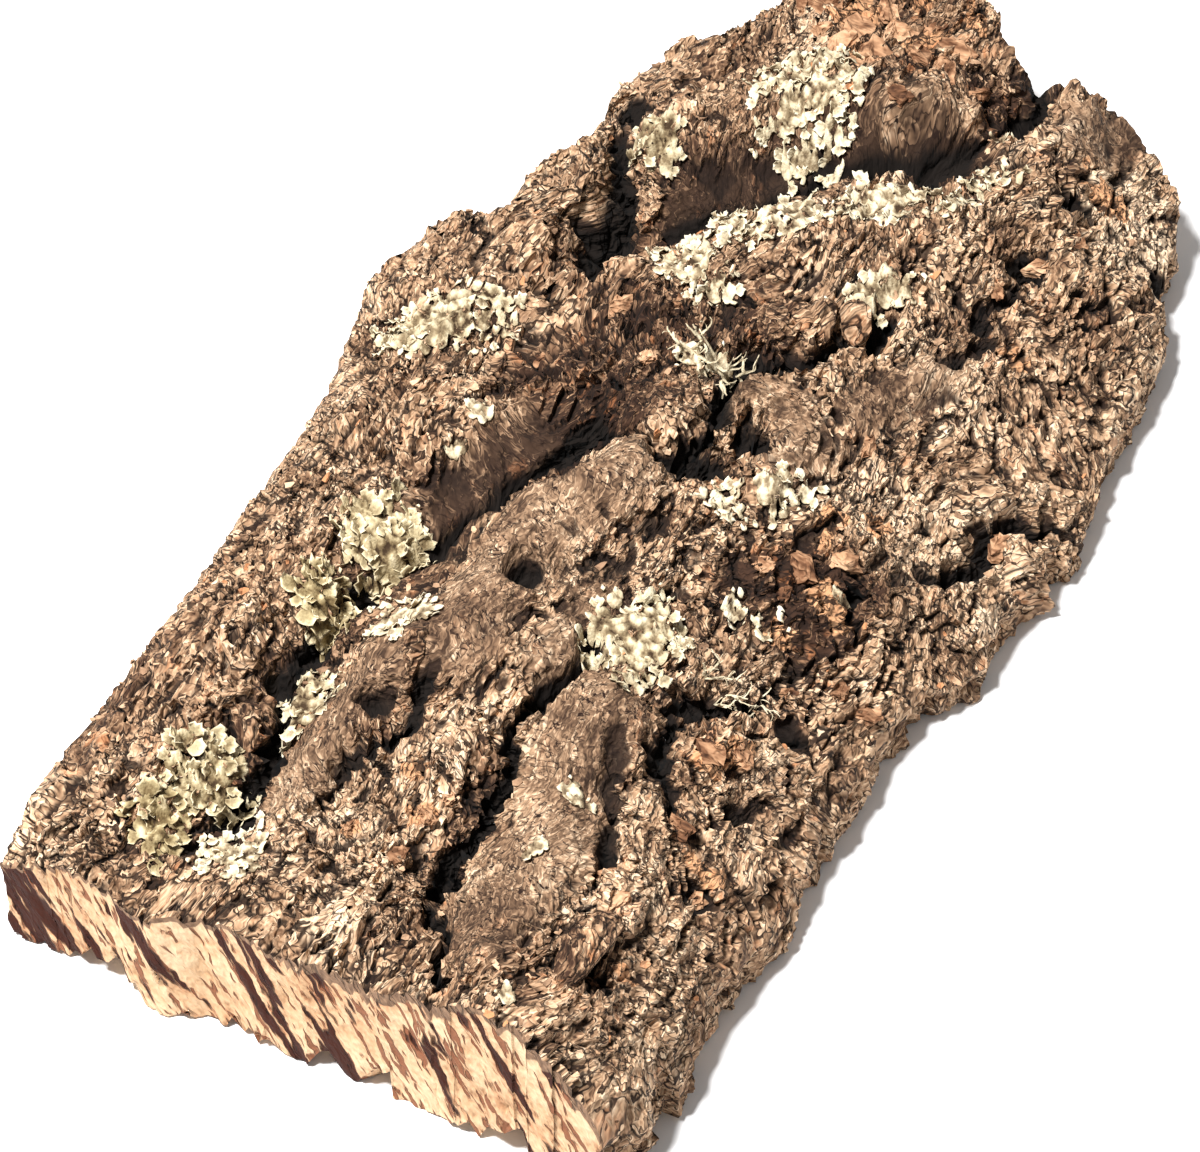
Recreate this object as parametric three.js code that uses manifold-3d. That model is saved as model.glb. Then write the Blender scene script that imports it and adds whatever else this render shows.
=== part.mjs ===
// Cork bark slab: one flat of virgin cork oak bark, lying on its inner face, with leafy lichens
// growing on its weathered outer face.
// Millimetres, +Z up. X runs along the trunk's grain from the sawn near end (-X) to the broken
// far end (+X), Y from the low right flank (-Y) to the left edge (+Y), and Z = 0 is the surface
// that the slab lies on. The origin is the middle of the footprint.
import * as THREE from "three";
import { mergeVertices } from "three/addons/utils/BufferGeometryUtils.js";
import Module from "manifold-3d";

// Footprint. RIGHT_EDGE and LEFT_EDGE give Y along X, NEAR_END and FAR_END give X across the
// slab, where 0 is the right edge and 1 the left edge.
const RIGHT_EDGE = [
  [-152, -69], [-130, -71.5], [-100, -71.5], [-52, -73], [-27, -71], [-3, -77], [18, -79.5],
  [32, -80], [63, -77], [88, -75], [113, -67], [134, -62], [152, -57],
];
const LEFT_EDGE = [
  [-152, 64], [-141, 66], [-129, 68.5], [-91, 68], [-46, 70], [-15, 72], [16, 79.5], [36, 77],
  [44, 67], [63, 66.5], [78, 61], [92, 63], [107, 60], [119, 55], [130, 49], [152, 42],
];
const NEAR_END = [
  [0, -146], [0.1, -146], [0.22, -147], [0.35, -146.5], [0.45, -147], [0.55, -148.5],
  [0.66, -148], [0.72, -152], [0.8, -150], [0.9, -149.5], [1, -150],
];
const FAR_END = [
  [0, 130], [0.08, 135], [0.2, 137], [0.32, 141], [0.4, 139], [0.5, 143], [0.62, 148],
  [0.75, 152], [0.9, 150], [1, 147],
];

// Thickness of the slab across its width, at the near end, the middle and the far end.
const NEAR_PROFILE = [
  [0, 10], [0.03, 24], [0.08, 34], [0.14, 41], [0.22, 43], [0.3, 38], [0.4, 34.5], [0.55, 34],
  [0.7, 33], [0.8, 32], [0.9, 31], [1, 23],
];
const MIDDLE_PROFILE = [
  [0, 9], [0.05, 18], [0.12, 26], [0.25, 36], [0.4, 42], [0.5, 43], [0.7, 39], [0.85, 36],
  [0.95, 32], [1, 24],
];
const FAR_PROFILE = [
  [0, 12], [0.05, 20], [0.15, 28], [0.3, 36], [0.5, 40], [0.7, 37], [0.85, 32], [0.95, 28], [1, 21],
];
const NEAR_PROFILE_ENDS = -60; // X where the middle profile has taken over
const FAR_PROFILE_STARTS = 45;
const HALF_LENGTH = 150;

// Rolls of bark (height above zero) and broad valleys (below zero): a rounded swell of that
// height along a path, dying out at reach on both sides.
const ROLLS = [
  { path: [[-125, 48], [-87, 47], [-52, 47], [-16, 49], [14, 52]], height: 3, reach: 17 }, // left plateau
  { path: [[-125, 29], [-100, 29], [-86, 36], [-62, 32], [-44, 27], [-22, 21], [-8, 12]], height: -7, reach: 16 },
  { path: [[-74, 5], [-56, 7], [-36, 5], [-20, -1]], height: 6, reach: 13 }, // main roll
  { path: [[-113, 18], [-93, 19], [-78, 14]], height: 4, reach: 10 }, // its tail
  { path: [[-84, 2], [-75, -4], [-61, -10]], height: 2.5, reach: 6 },
  { path: [[-133, -6], [-114, -6], [-100, -5], [-86, -9], [-72, -14]], height: 3, reach: 10 }, // long roll
  { path: [[-131, -33], [-115, -33], [-98, -32], [-85, -28], [-72, -26]], height: 5, reach: 13 }, // smooth roll
  { path: [[-75, -36], [-85, -42], [-95, -46], [-109, -49]], height: 2, reach: 7 },
  { path: [[82, 38], [96, 24], [104, 4], [112, -14]], height: 6, reach: 15 }, // far lobe
  { path: [[48, 34], [63, 25], [74, 16], [88, 1], [95, -11], [107, -19], [124, -23], [150, -23]], height: -10, reach: 15 },
  { path: [[128, -33], [110, -39], [94, -44]], height: 5, reach: 10 }, // far block
  { path: [[34, 53], [47, 53], [58, 49]], height: 5, reach: 10 }, // left block
  { path: [[21, -33], [31, -38], [43, -44]], height: 3, reach: 6 },
  { path: [[44, 10], [55, -3], [60, -18], [78, -32]], height: 4.5, reach: 12 }, // shelf
  { path: [[-3, -24], [2, -29], [9, -29], [14, -24], [15, -17], [11, -12]], height: 4, reach: 7 }, // branch scar's lip
];

// Furrows: sharp splits between the rolls, depth at the path and open to reach on both sides.
const FURROWS = [
  {
    path: [
      [-123, 30], [-108, 29], [-100, 29], [-89, 36], [-81, 37], [-71, 35], [-62, 32], [-50, 31],
      [-44, 27], [-33, 22], [-22, 21], [-9, 14], [-5, 11], [-5, 0], [-7, -7],
    ],
    depth: 7,
    reach: 5,
  },
  { path: [[-7, -7], [8, -8], [15, -7], [22, -9], [29, -14], [40, -23], [46, -27]], depth: 10, reach: 7 },
  {
    path: [
      [-140, -28], [-133, -26], [-127, -20], [-115, -18], [-108, -19], [-101, -17], [-96, -19],
      [-87, -15], [-73, -15], [-67, -17], [-58, -17],
    ],
    depth: 12,
    reach: 5,
  },
  { path: [[-64, -38], [-72, -39], [-77, -42], [-83, -46]], depth: 6, reach: 5 },
  { path: [[-76, -31], [-91, -39], [-95, -42], [-107, -45]], depth: 3, reach: 4.5 },
  { path: [[-83, 7], [-97, 9], [-106, 10], [-115, 12], [-122, 13]], depth: 5, reach: 6 },
  { path: [[88, 58], [85, 52], [66, 45], [49, 39], [39, 37], [32, 36]], depth: 12, reach: 7 },
  { path: [[36, 42], [27, 41], [21, 39]], depth: 7, reach: 5 },
  { path: [[48, 34], [63, 25], [74, 16], [88, 1], [95, -11], [107, -19], [124, -23], [150, -23]], depth: 4, reach: 6 },
  { path: [[84, -44], [70, -45], [63, -44], [52, -45], [46, -43]], depth: 6, reach: 5 },
  { path: [[3, -63], [15, -65], [26, -69], [39, -76]], depth: 8, reach: 6 },
  { path: [[-60, -39], [-51, -44], [-42, -49], [-35, -52], [-22, -54], [-13, -50]], depth: 7, reach: 6 },
];
const FURROW_SHARPNESS = 1.3;

// Knot holes and pockets: a round pit at a point.
const PITS = [
  { at: [-51, 2], radius: 5.5, depth: 9 }, // knot in the main roll
  { at: [-91, 15], radius: 5, depth: 7 }, // knot in its tail
  { at: [-8, -9], radius: 8, depth: 13 }, // throat where the furrows meet
  { at: [42, -28], radius: 6.5, depth: 12 },
  { at: [104, -45], radius: 5, depth: 8 },
  { at: [83, -44], radius: 6, depth: 8 },
  { at: [110, -63], radius: 6, depth: 7 },
  { at: [3, -19], radius: 6, depth: 8 }, // branch scar
  { at: [-127, -52], radius: 6, depth: 5 },
  { at: [-47, -55], radius: 5, depth: 4 },
  { at: [-71, -57], radius: 5, depth: 4 },
  { at: [-93, -58], radius: 5, depth: 4 },
];

// Leafy lichens: middle, length and width, turn of the length from +X, and number of lobes.
const LICHENS = [
  { name: "lichen_far_lobe", at: [97, 17], size: [28, 22], turn: 29, lobes: 9 },
  { name: "lichen_cup", at: [74, 41], size: [13, 11], turn: 20, lobes: 6 },
  { name: "lichen_diagonal", at: [41, 15], size: [25, 11], turn: 62, lobes: 8 },
  { name: "lichen_shelf_left", at: [59, 6], size: [25, 18], turn: -50, lobes: 9 },
  { name: "lichen_shelf_right", at: [77, -16], size: [30, 14], turn: -48, lobes: 9 },
  { name: "lichen_notch", at: [98, -28], size: [14, 8], turn: -40, lobes: 6 },
  { name: "lichen_flat", at: [52, -23], size: [22, 7], turn: -45, lobes: 7 },
  { name: "lichen_scar", at: [-9, -28], size: [20, 12], turn: -50, lobes: 8 },
  { name: "lichen_plateau", at: [4, 53], size: [30, 18], turn: -55, lobes: 10 },
  { name: "lichen_upper_lobes", at: [-52, 36], size: [17, 15], turn: -40, lobes: 8 },
  { name: "lichen_middle_lobes", at: [-70, 38], size: [13, 10], turn: 10, lobes: 6 },
  { name: "lichen_groove", at: [-71, 20], size: [18, 13], turn: 40, lobes: 8 },
  { name: "lichen_tail", at: [-92, 29], size: [21, 10], turn: 20, lobes: 8 },
  { name: "lichen_lower_lobes", at: [-116, 37], size: [17, 13], turn: -20, lobes: 7 },
  { name: "lichen_corner", at: [-132, 38], size: [12, 10], turn: 0, lobes: 6 },
  { name: "lichen_near", at: [-131, 23], size: [17, 13], turn: 35, lobes: 8 },
  { name: "lichen_centre", at: [-53, -23], size: [25, 18], turn: 15, lobes: 9 },
];
const LICHEN_GAP = 0.35; // clear of the bark all over
const LICHEN_THICKNESS = 1.3;
const LICHEN_RUFFLE = 0.5; // rise and fall of the lobes
const LICHEN_LOBE_DEPTH = 0.42; // notches between lobes, as a share of the radius
const LICHEN_UNEVEN = 0.09; // some lobes reach further than others
const LICHEN_ROOT = 3; // how far the blank is sunk before the bark is cut out of it
const STEPS_PER_LOBE = 4;
const LICHEN_RINGS = 2;

// Mesh of the bark. The underside has one cell for every UNDERSIDE_STEP cells of the top.
const CELLS_ALONG = 88;
const CELLS_ACROSS = 48;
const WALL_ROWS = 3;
const UNDERSIDE_STEP = 4;
const EDGE_LIFT = 1.6; // the rim of the underside curls up this far from the flat it lies on
const WALL_BULGE = 1.4; // roughness of the broken sides
const CENTRING = [-0.236, 0.417, 0]; // brings the middle of the footprint to the origin

const barkMaterial = new THREE.MeshStandardMaterial({ color: 0x86705a, roughness: 0.95, metalness: 0 });
const lichenMaterial = new THREE.MeshStandardMaterial({ color: 0xc9cfa8, roughness: 0.9, metalness: 0 });

// A smooth curve through [t, value] points, read at t.
function along(points, t) {
  const last = points.length - 1;
  const at = Math.min(Math.max(t, points[0][0]), points[last][0]);
  let i = 0;
  while (i < last - 1 && points[i + 1][0] < at) i += 1;
  const slope = (k) => {
    const a = points[Math.max(k - 1, 0)];
    const b = points[Math.min(k + 1, last)];
    return (b[1] - a[1]) / (b[0] - a[0]);
  };
  const [t0, v0] = points[i];
  const [t1, v1] = points[i + 1];
  const span = t1 - t0;
  const s = (at - t0) / span;
  const fromStart = (2 * s ** 3 - 3 * s ** 2 + 1) * v0 + (s ** 3 - 2 * s ** 2 + s) * span * slope(i);
  const fromEnd = (3 * s ** 2 - 2 * s ** 3) * v1 + (s ** 3 - s ** 2) * span * slope(i + 1);
  return fromStart + fromEnd;
}

// The bark's outer surface without its furrows: thickest along the middle, falling to both sides.
function crown(x, y) {
  const right = along(RIGHT_EDGE, x);
  const across = THREE.MathUtils.clamp((y - right) / (along(LEFT_EDGE, x) - right), 0, 1);
  const near = 1 - THREE.MathUtils.smoothstep(x, -HALF_LENGTH, NEAR_PROFILE_ENDS);
  const far = THREE.MathUtils.smoothstep(x, FAR_PROFILE_STARTS, HALF_LENGTH);
  return (
    near * along(NEAR_PROFILE, across) +
    far * along(FAR_PROFILE, across) +
    (1 - near - far) * along(MIDDLE_PROFILE, across)
  );
}

// Distance in plan from a point to a path.
function pathDistance(x, y, path) {
  let nearest = Infinity;
  for (let i = 0; i + 1 < path.length; i += 1) {
    const [ax, ay] = path[i];
    const dx = path[i + 1][0] - ax;
    const dy = path[i + 1][1] - ay;
    const t = THREE.MathUtils.clamp(((x - ax) * dx + (y - ay) * dy) / (dx * dx + dy * dy), 0, 1);
    nearest = Math.min(nearest, Math.hypot(x - ax - t * dx, y - ay - t * dy));
  }
  return nearest;
}

// Paths wander a little, as splits in bark do.
function wander(x, y) {
  return [
    x + 1.3 * Math.sin(0.21 * y + 0.13 * x + 1.3) + 0.7 * Math.sin(0.47 * x - 0.31 * y + 4.1),
    y + 1.4 * Math.sin(0.19 * x - 0.08 * y + 0.7) + 0.8 * Math.sin(0.43 * x + 0.29 * y + 2.2),
  ];
}

// Irregular lumps between -0.5 and 0.5, the same on every run: a random value at each whole point,
// blended smoothly in between.
function randomAt(i, j) {
  const value = Math.sin(127.1 * i + 311.7 * j) * 43758.5453;
  return value - Math.floor(value);
}
function grain(x, y) {
  const i = Math.floor(x);
  const j = Math.floor(y);
  const s = THREE.MathUtils.smoothstep(x - i, 0, 1);
  const t = THREE.MathUtils.smoothstep(y - j, 0, 1);
  const lower = THREE.MathUtils.lerp(randomAt(i, j), randomAt(i + 1, j), s);
  const upper = THREE.MathUtils.lerp(randomAt(i, j + 1), randomAt(i + 1, j + 1), s);
  return THREE.MathUtils.lerp(lower, upper, t) - 0.5;
}

// Height of the bark's outer surface over the slab's bed.
function barkHeight(x, y) {
  const [wx, wy] = wander(x, y);
  let height = crown(x, y);
  for (const roll of ROLLS) {
    const d = Math.min(pathDistance(wx, wy, roll.path) / roll.reach, 1);
    height += roll.height * Math.cos((d * Math.PI) / 2) ** 2;
  }
  let cut = 0;
  for (const furrow of FURROWS) {
    const d = Math.min(pathDistance(wx, wy, furrow.path) / furrow.reach, 1);
    cut = Math.max(cut, furrow.depth * (1 - d) ** FURROW_SHARPNESS);
  }
  for (const pit of PITS) {
    const d = Math.min(Math.hypot(wx - pit.at[0], wy - pit.at[1]) / pit.radius, 1);
    cut = Math.max(cut, pit.depth * (1 - d * d) ** 1.5);
  }
  const lumps = 1.5 * grain(0.105 * wx, 0.15 * wy) + 1.2 * grain(0.24 * wx + 9, 0.29 * wy + 4);
  return height - cut + lumps;
}

// Plan position of a point of the footprint, u from near to far and v from right to left.
function footprint(u, v) {
  const near = along(NEAR_END, v);
  const x = near + u * (along(FAR_END, v) - near);
  const right = along(RIGHT_EDGE, x);
  return [x, right + v * (along(LEFT_EDGE, x) - right)];
}

// The bark as one closed body: the top over a grid, broken sides below its rim, and an underside
// that is flat apart from its rim. A lift raises the top alone.
function barkGeometry(lift = 0) {
  const positions = [];
  const faces = [];
  const addPoint = (x, y, z) => positions.push(x, y, z) / 3 - 1;
  const heightOf = (index) => positions[3 * index + 2];
  const pointOf = (index) => positions.slice(3 * index, 3 * index + 3);

  const top = [];
  for (let i = 0; i <= CELLS_ALONG; i += 1) {
    top.push([]);
    for (let j = 0; j <= CELLS_ACROSS; j += 1) {
      const [x, y] = footprint(i / CELLS_ALONG, j / CELLS_ACROSS);
      top[i].push(addPoint(x, y, barkHeight(x, y) + lift));
    }
  }
  // Each cell is split along the diagonal that changes height least, so that ridges stay sharp.
  for (let i = 0; i < CELLS_ALONG; i += 1) {
    for (let j = 0; j < CELLS_ACROSS; j += 1) {
      const [a, b, c, d] = [top[i][j], top[i + 1][j], top[i + 1][j + 1], top[i][j + 1]];
      if (Math.abs(heightOf(a) - heightOf(c)) < Math.abs(heightOf(b) - heightOf(d))) {
        faces.push(a, b, c, a, c, d);
      } else {
        faces.push(a, b, d, b, c, d);
      }
    }
  }

  // The rim, anticlockwise seen from above from the near right corner.
  const rim = [];
  for (let i = 0; i < CELLS_ALONG; i += 1) rim.push([i, 0]);
  for (let j = 0; j < CELLS_ACROSS; j += 1) rim.push([CELLS_ALONG, j]);
  for (let i = CELLS_ALONG; i > 0; i -= 1) rim.push([i, CELLS_ACROSS]);
  for (let j = CELLS_ACROSS; j > 0; j -= 1) rim.push([0, j]);

  // Rings of the sides, from the rim down to the underside, roughened in and out.
  const rings = [rim.map(([i, j]) => top[i][j])];
  for (let row = 1; row <= WALL_ROWS; row += 1) {
    const down = row / WALL_ROWS;
    rings.push(
      rings[0].map((rimIndex, p) => {
        const [x, y, z] = pointOf(rimIndex);
        const foot = EDGE_LIFT * (0.55 + 0.45 * Math.sin(0.9 * p) * Math.sin(0.23 * p + 1));
        const rough = WALL_BULGE * Math.sin(0.85 * p + 2.1 * row) * Math.sin(0.31 * p + row);
        const inward = 1 - (rough * (1 + down)) / Math.hypot(x, y) / 2;
        return addPoint(x * inward, y * inward, z - lift + (foot - z + lift) * down);
      }),
    );
  }
  for (let row = 0; row < WALL_ROWS; row += 1) {
    for (let p = 0; p < rim.length; p += 1) {
      const q = (p + 1) % rim.length;
      const [a, b] = [rings[row][p], rings[row][q]];
      const [c, d] = [rings[row + 1][p], rings[row + 1][q]];
      faces.push(a, c, d, a, d, b);
    }
  }

  // The underside: a coarse lattice at Z = 0 inside the lowest ring, whose cells at the rim fan out
  // to the ring's own points.
  const lowest = new Map(rim.map(([i, j], p) => [`${i},${j}`, rings[WALL_ROWS][p]]));
  const inner = new Map();
  for (let i = UNDERSIDE_STEP; i < CELLS_ALONG; i += UNDERSIDE_STEP) {
    for (let j = UNDERSIDE_STEP; j < CELLS_ACROSS; j += UNDERSIDE_STEP) {
      const [x, y] = footprint(i / CELLS_ALONG, j / CELLS_ACROSS);
      inner.set(`${i},${j}`, addPoint(x, y, 0));
    }
  }
  const under = (i, j) => lowest.get(`${i},${j}`) ?? inner.get(`${i},${j}`);
  for (let i = 0; i < CELLS_ALONG; i += UNDERSIDE_STEP) {
    for (let j = 0; j < CELLS_ACROSS; j += UNDERSIDE_STEP) {
      const outline = [];
      const side = (fromI, fromJ, stepI, stepJ) => {
        for (let k = 0; k < UNDERSIDE_STEP; k += 1) {
          const index = under(fromI + k * stepI, fromJ + k * stepJ);
          if (index !== undefined) outline.push(index);
        }
      };
      side(i, j, 0, 1);
      side(i, j + UNDERSIDE_STEP, 1, 0);
      side(i + UNDERSIDE_STEP, j + UNDERSIDE_STEP, 0, -1);
      side(i + UNDERSIDE_STEP, j, -1, 0);
      const hub = outline.findIndex((index) => heightOf(index) === 0);
      for (let k = 1; k + 1 < outline.length; k += 1) {
        const corner = (n) => outline[(hub + n) % outline.length];
        faces.push(corner(0), corner(k), corner(k + 1));
      }
    }
  }

  const geometry = new THREE.BufferGeometry();
  geometry.setAttribute("position", new THREE.Float32BufferAttribute(positions, 3));
  geometry.setIndex(faces);
  return geometry;
}

const wasm = await Module();
wasm.setup();

// A closed geometry as a solid, and back.
function solidOf(geometry) {
  const merged = mergeVertices(geometry);
  return new wasm.Manifold(
    new wasm.Mesh({
      numProp: 3,
      vertProperties: merged.getAttribute("position").array,
      triVerts: new Uint32Array(merged.index.array),
    }),
  );
}
function geometryOf(solid) {
  const mesh = solid.getMesh();
  const geometry = new THREE.BufferGeometry();
  geometry.setAttribute("position", new THREE.BufferAttribute(new Float32Array(mesh.vertProperties), 3));
  geometry.setIndex(new THREE.BufferAttribute(new Uint32Array(mesh.triVerts), 1));
  return geometry;
}

// One leafy lichen before the bark is cut out of it: a lobed sheet that follows the bark, its lobes
// ruffled, with its underside sunk in the bark.
function lichenBlank({ at, size, turn, lobes }) {
  const steps = lobes * STEPS_PER_LOBE;
  const angle = THREE.MathUtils.degToRad(turn);
  const positions = [];
  const faces = [];
  const addPoint = (reach, theta, isTop) => {
    const notch = 1 - Math.abs(Math.cos((lobes * theta) / 2)); // round lobes, sharp notches
    const uneven = 1 + LICHEN_UNEVEN * (Math.sin(3 * theta + turn) + Math.sin(2 * theta + 1) - 1);
    const share = reach * uneven * (1 - LICHEN_LOBE_DEPTH * notch * reach);
    const px = (size[0] / 2) * share * Math.cos(theta);
    const py = (size[1] / 2) * share * Math.sin(theta);
    const x = at[0] + px * Math.cos(angle) - py * Math.sin(angle);
    const y = at[1] + px * Math.sin(angle) + py * Math.cos(angle);
    const ruffle = LICHEN_RUFFLE * (Math.cos(lobes * theta + 2.2) * reach + Math.sin(5 * theta + 3 * reach));
    const rise = isTop ? LICHEN_GAP + LICHEN_THICKNESS + ruffle * reach : -LICHEN_ROOT;
    return positions.push(x, y, barkHeight(x, y) + rise) / 3 - 1;
  };
  const middle = addPoint(0, 0, true);
  const rings = [];
  for (let ring = 1; ring <= LICHEN_RINGS; ring += 1) {
    rings.push([]);
    for (let k = 0; k < steps; k += 1) {
      rings[ring - 1].push(addPoint(ring / LICHEN_RINGS, (k / steps) * 2 * Math.PI, true));
    }
  }
  const root = addPoint(0, 0, false);
  const rootRing = [];
  for (let k = 0; k < steps; k += 1) rootRing.push(addPoint(1, (k / steps) * 2 * Math.PI, false));
  const outer = rings[LICHEN_RINGS - 1];
  for (let k = 0; k < steps; k += 1) {
    const next = (k + 1) % steps;
    faces.push(middle, rings[0][k], rings[0][next]);
    for (let ring = 0; ring + 1 < LICHEN_RINGS; ring += 1) {
      const [a, b] = [rings[ring][k], rings[ring][next]];
      const [c, d] = [rings[ring + 1][k], rings[ring + 1][next]];
      faces.push(a, c, d, a, d, b);
    }
    faces.push(outer[k], rootRing[k], rootRing[next], outer[k], rootRing[next], outer[next]);
    faces.push(root, rootRing[next], rootRing[k]);
  }
  const geometry = new THREE.BufferGeometry();
  geometry.setAttribute("position", new THREE.Float32BufferAttribute(positions, 3));
  geometry.setIndex(faces);
  return geometry;
}

// The lichen clear of the bark: the blank less the bark raised by the gap, without loose scraps.
const raisedBark = solidOf(barkGeometry(LICHEN_GAP));
function lichenGeometry(lichen) {
  const bodies = solidOf(lichenBlank(lichen)).subtract(raisedBark).decompose();
  bodies.sort((a, b) => b.volume() - a.volume());
  return geometryOf(bodies[0]);
}

function namedMesh(name, geometry, material) {
  geometry.translate(...CENTRING);
  geometry.computeVertexNormals();
  const mesh = new THREE.Mesh(geometry, material);
  mesh.name = name;
  return mesh;
}

const slab = new THREE.Group();
slab.add(namedMesh("bark", barkGeometry(), barkMaterial));
for (const lichen of LICHENS) {
  slab.add(namedMesh(lichen.name, lichenGeometry(lichen), lichenMaterial));
}

export default slab;
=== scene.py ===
# %% [markdown]
# A flat of cork bark, lying on its inner face, with leafy lichens on its weathered outer face. The
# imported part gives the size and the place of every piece. Each piece is made again here with the
# detail that the real one shows. All measuring is done in millimetres, because bark is easy to
# picture in them, and every mesh is scaled to metres when it is made.

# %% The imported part
import math
import bmesh
import bpy
import numpy as np
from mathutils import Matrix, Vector


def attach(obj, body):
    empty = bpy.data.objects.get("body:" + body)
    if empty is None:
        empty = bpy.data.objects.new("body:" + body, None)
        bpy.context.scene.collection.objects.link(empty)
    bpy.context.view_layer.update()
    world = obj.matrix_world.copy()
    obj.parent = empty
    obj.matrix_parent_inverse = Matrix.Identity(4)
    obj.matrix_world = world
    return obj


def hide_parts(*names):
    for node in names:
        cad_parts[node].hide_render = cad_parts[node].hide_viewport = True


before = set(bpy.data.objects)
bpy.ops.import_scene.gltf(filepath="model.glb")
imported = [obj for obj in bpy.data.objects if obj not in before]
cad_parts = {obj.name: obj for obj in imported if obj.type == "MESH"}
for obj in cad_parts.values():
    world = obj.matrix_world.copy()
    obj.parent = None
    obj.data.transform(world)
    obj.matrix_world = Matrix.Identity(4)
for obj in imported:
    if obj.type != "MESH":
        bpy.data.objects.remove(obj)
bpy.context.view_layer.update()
MM = 0.001
CENTRING = (-0.236, 0.417)
print("packed nodes:", len(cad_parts))

# %% [markdown]
# The outline of the slab and its thickness across three places are short lists of measured points,
# with a smooth curve drawn through each list. A few points that mean something are easier to
# correct than a sculpted mesh, and the same points give the solid part its shape.

# %% Outline and thickness
RIGHT_EDGE = [
    (-152, -69), (-130, -71.5), (-100, -71.5), (-52, -73), (-27, -71), (-3, -77), (18, -79.5),
    (32, -80), (63, -77), (88, -75), (113, -67), (134, -62), (152, -57),
]
LEFT_EDGE = [
    (-152, 64), (-141, 66), (-129, 68.5), (-91, 68), (-46, 70), (-15, 72), (16, 79.5), (36, 77),
    (44, 67), (63, 66.5), (78, 61), (92, 63), (107, 60), (119, 55), (130, 49), (152, 42),
]
NEAR_END = [
    (0, -146), (0.1, -146), (0.22, -147), (0.35, -146.5), (0.45, -147), (0.55, -148.5), (0.66, -148),
    (0.72, -152), (0.8, -150), (0.9, -149.5), (1, -150),
]
FAR_END = [
    (0, 130), (0.08, 135), (0.2, 137), (0.32, 141), (0.4, 139), (0.5, 143), (0.62, 148), (0.75, 152),
    (0.9, 150), (1, 147),
]
NEAR_PROFILE = [
    (0, 10), (0.03, 24), (0.08, 34), (0.14, 41), (0.22, 43), (0.3, 38), (0.4, 34.5), (0.55, 34),
    (0.7, 33), (0.8, 32), (0.9, 31), (1, 23),
]
MIDDLE_PROFILE = [
    (0, 9), (0.05, 18), (0.12, 26), (0.25, 36), (0.4, 42), (0.5, 43), (0.7, 39), (0.85, 36),
    (0.95, 32), (1, 24),
]
FAR_PROFILE = [
    (0, 12), (0.05, 20), (0.15, 28), (0.3, 36), (0.5, 40), (0.7, 37), (0.85, 32), (0.95, 28), (1, 21),
]


def along(points, t):
    """A smooth curve through (t, value) points, read at every t."""
    at, value = np.array(points, float).T
    slope = np.empty_like(value)
    slope[1:-1] = (value[2:] - value[:-2]) / (at[2:] - at[:-2])
    slope[0] = (value[1] - value[0]) / (at[1] - at[0])
    slope[-1] = (value[-1] - value[-2]) / (at[-1] - at[-2])
    t = np.clip(t, at[0], at[-1])
    i = np.clip(np.searchsorted(at, t, side="right") - 1, 0, len(at) - 2)
    span = at[i + 1] - at[i]
    s = (t - at[i]) / span
    start = (2 * s**3 - 3 * s**2 + 1) * value[i] + (s**3 - 2 * s**2 + s) * span * slope[i]
    end = (3 * s**2 - 2 * s**3) * value[i + 1] + (s**3 - s**2) * span * slope[i + 1]
    return start + end


def smooth(low, high, t):
    """0 below low, 1 above high, and an S-curve in between."""
    s = np.clip((t - low) / (high - low), 0, 1)
    return s * s * (3 - 2 * s)


def crown(x, y):
    """The outer face without rolls or furrows."""
    right = along(RIGHT_EDGE, x)
    across = np.clip((y - right) / (along(LEFT_EDGE, x) - right), 0, 1)
    near = 1 - smooth(-150, -60, x)
    far = smooth(45, 150, x)
    middle = 1 - near - far
    ends = near * along(NEAR_PROFILE, across) + far * along(FAR_PROFILE, across)
    return ends + middle * along(MIDDLE_PROFILE, across)


print("slab about %d by %d mm" % (FAR_END[7][1] - NEAR_END[7][1], LEFT_EDGE[6][1] - RIGHT_EDGE[7][1]))

# %% [markdown]
# Bark never repeats, so almost every step below needs irregular numbers that are the same on each
# run. A hash of whole-number places gives them. Blended between the places it makes soft noise, and
# with the nearest of many scattered points it makes cells, which is how bark breaks into plates.

# %% Irregular numbers
def hashed(i, j, seed):
    """A number from 0 to 1 for each whole place."""
    n = (i.astype(np.int64) * 374761393 + j.astype(np.int64) * 668265263 + seed * 974634777) & 0xFFFFFFFF
    n = ((n ^ (n >> 13)) * 1274126177) & 0xFFFFFFFF
    return ((n ^ (n >> 16)) & 0xFFFF) / 65535.0


def noise(x, y, seed):
    """Soft noise from -1 to 1, with one lump to each unit."""
    i, j = np.floor(x), np.floor(y)
    s, t = smooth(0, 1, x - i), smooth(0, 1, y - j)
    lower = hashed(i, j, seed) * (1 - s) + hashed(i + 1, j, seed) * s
    upper = hashed(i, j + 1, seed) * (1 - s) + hashed(i + 1, j + 1, seed) * s
    return 2 * (lower * (1 - t) + upper * t) - 1


def layered(x, y, seed, octaves=4):
    """Noise with finer noise on it, each layer turned so that the places don't line up."""
    total, size = 0, 1.0
    for octave in range(octaves):
        total = total + size * noise(x, y, seed + octave)
        x, y = 1.63 * x + 1.21 * y + 3.7, 1.63 * y - 1.21 * x + 1.9
        size *= 0.5
    return total / 1.6


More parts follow.
